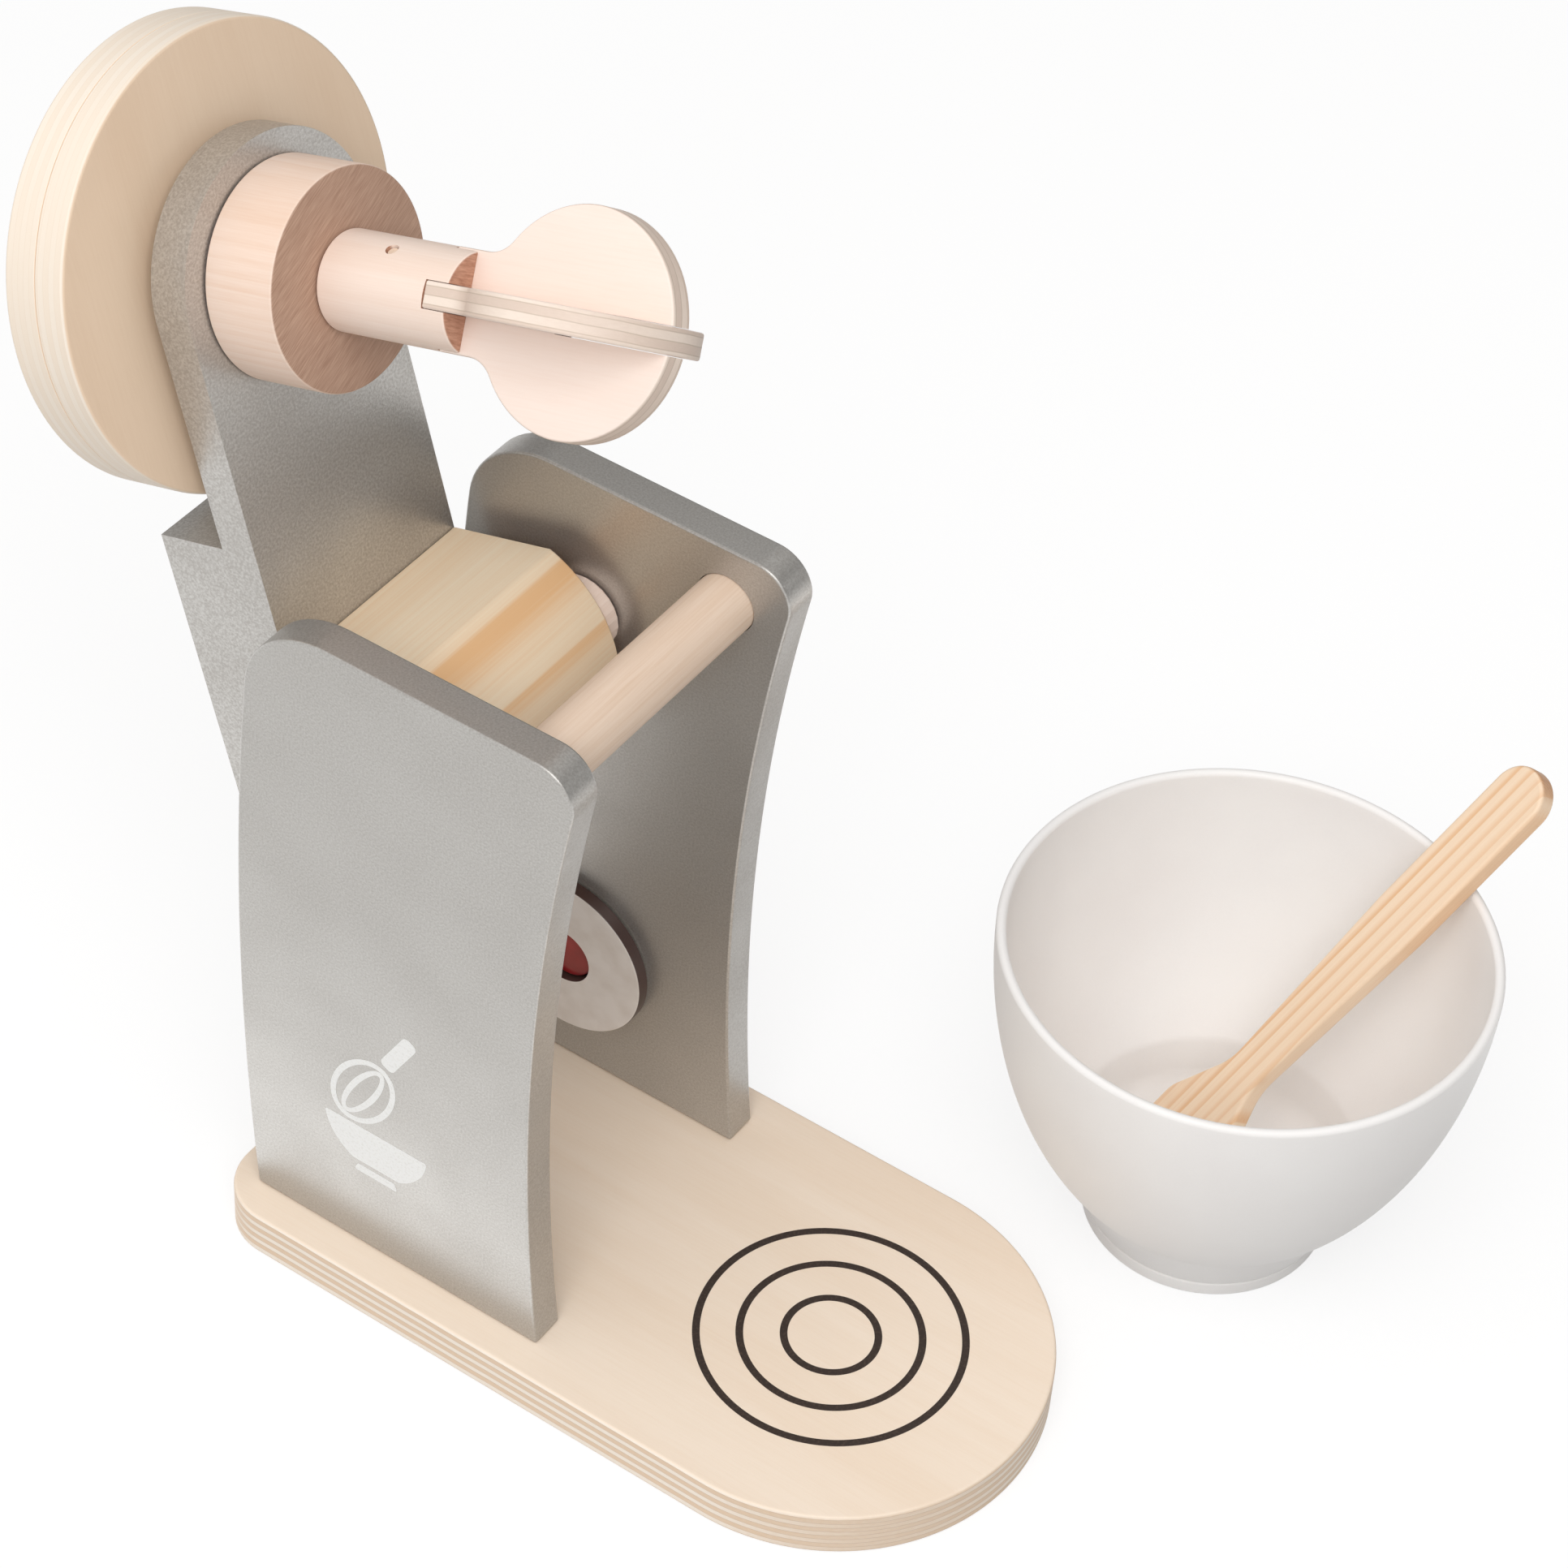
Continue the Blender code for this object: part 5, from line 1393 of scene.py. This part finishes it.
@dataclass
class Spatula:
    """Pine spatula that leans on the bowl's rim with its blade on the bowl's floor."""

    bowl: MixingBowl
    azimuth: float = math.radians(-33)
    slope: float = math.radians(50)
    off_centre: float = 3.4 * MM
    thickness: float = 5 * MM
    grip_width: float = 14.8 * MM
    neck_width: float = 10 * MM
    blade_width: float = 24 * MM
    past_rim: float = 31 * MM
    blade_length: float = 37 * MM
    shoulder_length: float = 16 * MM
    grip_length: float = 46 * MM
    tip_corner: float = 7 * MM
    gap: float = 0.3 * MM
    eased: float = 1.0 * MM

    @property
    def place(self) -> Matrix:
        """The spatula's frame: X up its length from the rim, Z out of its upper face."""
        lip = self.bowl.wall / 2
        contact_side = self.off_centre + self.grip_width / 2
        contact = math.sqrt((self.bowl.rim_radius - lip) ** 2 - contact_side**2)
        on_rim = move(contact, self.off_centre, self.bowl.height - lip)
        lift = move(z=lip + self.gap)
        return self.bowl.place @ turned(self.azimuth, "Z") @ on_rim @ turned(-self.slope, "Y") @ lift

    def outline(self) -> Outline:
        """Return the spatula's outline: tip, blade, shoulders, neck, grip and round end.

        Returns:
            The corners in order.
        """
        fall = self.place.translation.z - self.bowl.floor_height - self.gap
        tip = -fall / math.sin(self.slope)
        shoulder = tip + self.blade_length
        grip = self.grip_width / 2
        middle = self.past_rim - grip
        half = [
            (tip, self.blade_width / 2), (shoulder - self.shoulder_length, self.blade_width / 2),
            (shoulder, self.neck_width / 2), (self.past_rim - self.grip_length, grip), (middle, grip),
        ]
        radii = [self.tip_corner, self.shoulder_length / 2, self.shoulder_length, self.grip_length, 0.0]
        end = arc((middle, 0), grip, math.pi / 2, -math.pi / 2, steps=32)[1:-1]
        lower = [(x, -y) for x, y in reversed(half)]
        return rounded(half + end + lower, radii + [0.0] * len(end) + radii[::-1], steps=12)

    def build(self) -> None:
        """Build the spatula."""
        spatula = Piece.board("spatula_sanded", self.outline(), 0, self.thickness, self.place)
        spatula.ease(self.eased).finish(SPATULA_PINE, Body.SPATULA, Slot.PINE, "spatula")


@dataclass
class SmallParts:
    """CAD nodes that keep their own mesh and only take a finish."""

    nodes: dict[str, bpy.types.Object]
    layout: MixerLayout
    finishes: tuple[tuple[Finish, tuple[str, ...]], ...] = (
        (SHAFT_BASSWOOD, ("left_pivot_spacer", "right_pivot_spacer", "wheel_spacer")),
        (DOWEL_WOOD, ("wheel_axle", "whisk_pin")),
        (MARK_LACQUER, ("knob_mark",)),
        (SCREW_ZINC, ("base_screw_1", "base_screw_2", "base_screw_3", "base_screw_4")),
        (SCREW_ZINC, ("head_screw_1", "head_screw_2")),
    )

    @property
    def places(self) -> dict[str, Matrix]:
        """The frames of the nodes whose fibre runs along an axis."""
        pivot = move(0, self.layout.pivot_y, self.layout.pivot_z) @ ALONG_X
        return {
            "left_pivot_spacer": pivot,
            "right_pivot_spacer": pivot,
            "wheel_spacer": self.layout.whisk,
            "wheel_axle": self.layout.whisk,
            "whisk_pin": self.layout.whisk @ ALONG_X,
        }

    def build(self) -> None:
        """Dress each node."""
        for finish, names in self.finishes:
            for node in names:
                materials = self.nodes[node].data.materials
                materials.clear()
                materials.append(finish.material(node, self.places.get(node, Matrix())))


@dataclass
class Studio:
    """Pale floor, white surround, soft lamps and the camera."""

    floor_half: float = 3.0
    azimuth: float = math.radians(-58.67)
    elevation: float = math.radians(43.70)
    roll: float = math.radians(4.51)
    distance: float = 979.71 * MM
    aim_side: float = 10.16 * MM
    aim_rise: float = -131.90 * MM
    aim_x: float = -0.66 * MM
    sensor: float = 36.0
    # Focal length and optical axis as shares of the picture's width
    focal_share: float = 5420.92 / 1932
    middle_side: float = 961.38 / 1932
    middle_drop: float = 959.12 / 1932
    lit_middle: tuple[float, float, float] = (0.02, 0.03, 0.10)
    # Direction from the middle, distance, side and watts of each lamp
    lamps: tuple[tuple[str, tuple[float, float, float], float, float, float], ...] = (
        ("key_softbox", (-0.50, -0.28, 0.82), 1.2, 0.8, 6.5),
        ("fill_softbox", (0.62, -0.69, 0.36), 1.4, 0.35, 0.35),
    )
    # The floor bounces as grey paper, but looks white and glows for camera and glossy rays
    paper: tuple[float, float, float] = (0.50, 0.495, 0.49)
    seen_paper: tuple[float, float, float] = (0.30, 0.30, 0.30)
    floor_glow: float = 0.74
    # Two reflecting cards that only glossy rays see: along the left panel's foot, and before the arm
    side_card: float = 0.7
    side_card_x: float = -55 * MM
    side_card_reach: Point = (5 * MM, 75 * MM)
    front_card: float = 1.2
    front_card_place: tuple[float, float, float] = (0.25, -0.18, 0.0)
    front_card_reach: Point = (30 * MM, 160 * MM)
    # The tent's roof begins at one height of the view direction, its left side at one share of the way left
    roof_levels: Point = (0.50, 0.88)
    left_way: tuple[float, float, float] = (-0.9, 0.43, 0.0)
    left_levels: Point = (-0.5, 0.6)
    # Linear tones of the tent, with alpha, towards the right and towards the left
    walls: tuple[tuple[float, ...], ...] = ((0.17, 0.168, 0.166, 1.0), (0.90, 0.895, 0.89, 1.0))
    ceiling: tuple[tuple[float, ...], ...] = ((0.74, 0.73, 0.72, 1.0), (0.78, 0.775, 0.77, 1.0))

    def build(self) -> None:
        """Build the floor, the surround, the lamps and the camera."""
        self.floor()
        self.surround()
        for lamp in self.lamps:
            self.lamp(*lamp)
        self.camera()

    def floor(self) -> None:
        """Build the white floor, which shows itself white to the camera but keeps the shadow."""
        size = self.floor_half
        mesh = bpy.data.meshes.new("studio_floor")
        corners = [(-size, -size, 0), (size, -size, 0), (size, size, 0), (-size, size, 0)]
        mesh.from_pydata(corners, [], [(0, 1, 2, 3)])
        floor = bpy.data.objects.new("studio_floor", mesh)
        bpy.context.scene.collection.objects.link(floor)
        material = bpy.data.materials.new("white_paper_floor")
        material.use_nodes = True
        tree = material.node_tree
        tree.nodes.remove(tree.nodes["Principled BSDF"])
        add = partial(add_node, tree)
        place = add("TexCoord", output="Object")
        sideways = add("SeparateXYZ", {0: place}, "X")
        from_line = add("Math", {0: sideways, 1: self.side_card_x}, operation="SUBTRACT")
        from_line = add("Math", {0: from_line}, operation="ABSOLUTE")
        from_spot = add("VectorMath", {0: place, 1: self.front_card_place}, 1, operation="DISTANCE")
        side_card = smooth_step(tree, from_line, *self.side_card_reach, self.side_card, 0.0)
        front_card = smooth_step(tree, from_spot, *self.front_card_reach, self.front_card, 0.0)
        cards = add("Math", {0: side_card, 1: front_card}, operation="ADD")
        glossy = add("LightPath", output="Is Glossy Ray")
        glow = add("Math", {0: cards, 1: glossy, 2: self.floor_glow}, operation="MULTIPLY_ADD")
        white = add("Emission", {"Color": linear("#FFFFFF"), "Strength": glow})
        seen = add("AddShader", {0: white, 1: add("BsdfDiffuse", {"Color": (*self.seen_paper, 1.0)})})
        through = add("LightPath", output="Is Transmission Ray")
        straight = add("Math", {0: add("LightPath", output="Is Camera Ray"), 1: through}, operation="MAXIMUM")
        shown = add("Math", {0: straight, 1: glossy}, operation="MAXIMUM")
        paper = add("BsdfDiffuse", {"Color": (*self.paper, 1.0)})
        mixed = add("MixShader", {0: shown, 1: paper, 2: seen})
        tree.links.new(mixed, tree.nodes["Material Output"].inputs["Surface"])
        mesh.materials.append(material)

    def surround(self) -> None:
        """Make the surround: white to the camera, and to everything else a tent with a dim right side."""
        world = bpy.data.worlds.new("white_tent")
        bpy.context.scene.world = world
        world.use_nodes = True
        tree = world.node_tree
        tree.nodes.clear()
        add = partial(add_node, tree)
        direction = add("TexCoord", output="Generated")
        height = add("SeparateXYZ", {0: direction}, "Z")
        towards_left = add("VectorMath", {0: direction, 1: self.left_way}, 1, operation="DOT_PRODUCT")
        roof = smooth_step(tree, height, *self.roof_levels)
        left = smooth_step(tree, towards_left, *self.left_levels)
        tone = blend(tree, roof, blend(tree, left, *self.walls), blend(tree, left, *self.ceiling))
        tent = add("Background", {"Color": tone, "Strength": 1.0})
        white = add("Background", {"Color": linear("#FFFFFF"), "Strength": 1.0})
        mixed = add("MixShader", {0: add("LightPath", output="Is Camera Ray"), 1: tent, 2: white})
        tree.links.new(mixed, tree.nodes.new("ShaderNodeOutputWorld").inputs["Surface"])

    def lamp(
        self, name: str, direction: tuple[float, float, float], distance: float, size: float, watts: float
    ) -> None:
        """Add one square area lamp that looks at the object.

        Args:
            name: Name of the lamp.
            direction: Where it stands, as a direction from the object's middle.
            distance: How far off it is.
            size: Length of its side.
            watts: Its power.
        """
        light = bpy.data.lights.new(name, "AREA")
        light.shape = "SQUARE"
        light.size = size
        light.energy = watts
        lamp = bpy.data.objects.new(name, light)
        bpy.context.scene.collection.objects.link(lamp)
        away = Vector(direction).normalized()
        facing = away.to_track_quat("Z", "Y").to_matrix().to_4x4()
        lamp.matrix_world = Matrix.Translation(Vector(self.lit_middle) + away * distance) @ facing

    def camera(self) -> None:
        """Add the camera at the photograph's viewing angle."""
        back = Vector((
            math.sin(self.azimuth) * math.cos(self.elevation),
            -math.cos(self.azimuth) * math.cos(self.elevation),
            math.sin(self.elevation),
        ))
        level = Vector((math.cos(self.azimuth), math.sin(self.azimuth), 0))
        upright = back.cross(level)
        side = level * math.cos(self.roll) + upright * math.sin(self.roll)
        rise = upright * math.cos(self.roll) - level * math.sin(self.roll)
        aim = Vector((self.aim_x, 0, 0)) - side * self.aim_side - rise * self.aim_rise
        lens = bpy.data.cameras.new("photo_camera")
        lens.sensor_width = self.sensor
        lens.lens = self.sensor * self.focal_share
        lens.shift_x = 0.5 - self.middle_side
        lens.shift_y = self.middle_drop - 0.5
        lens.clip_start = 0.05
        camera = bpy.data.objects.new("photo_camera", lens)
        bpy.context.scene.collection.objects.link(camera)
        axes = Matrix((side, rise, back)).transposed().to_4x4()
        camera.matrix_world = Matrix.Translation(aim + back * self.distance) @ axes
        bpy.context.scene.camera = camera


def main() -> None:
    """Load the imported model, build and dress every sub-assembly and set up the studio."""
    logging.basicConfig(level=logging.INFO, format="%(name)s: %(message)s")
    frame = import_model()
    scene = bpy.context.scene
    scene.view_settings.view_transform = "Standard"
    layout = MixerLayout()
    bowl = MixingBowl()
    for assembly in (
        BaseBoard(layout),
        SidePanels(layout),
        Dowels(layout),
        Head(layout),
        WheelAndWhisk(layout),
        ControlKnob(layout),
        bowl,
        Spatula(bowl),
        SmallParts(frame["nodes"], layout),
        Studio(),
    ):
        assembly.build()
        log.info("built %s", type(assembly).__name__)


if __name__ == "__main__":
    main()
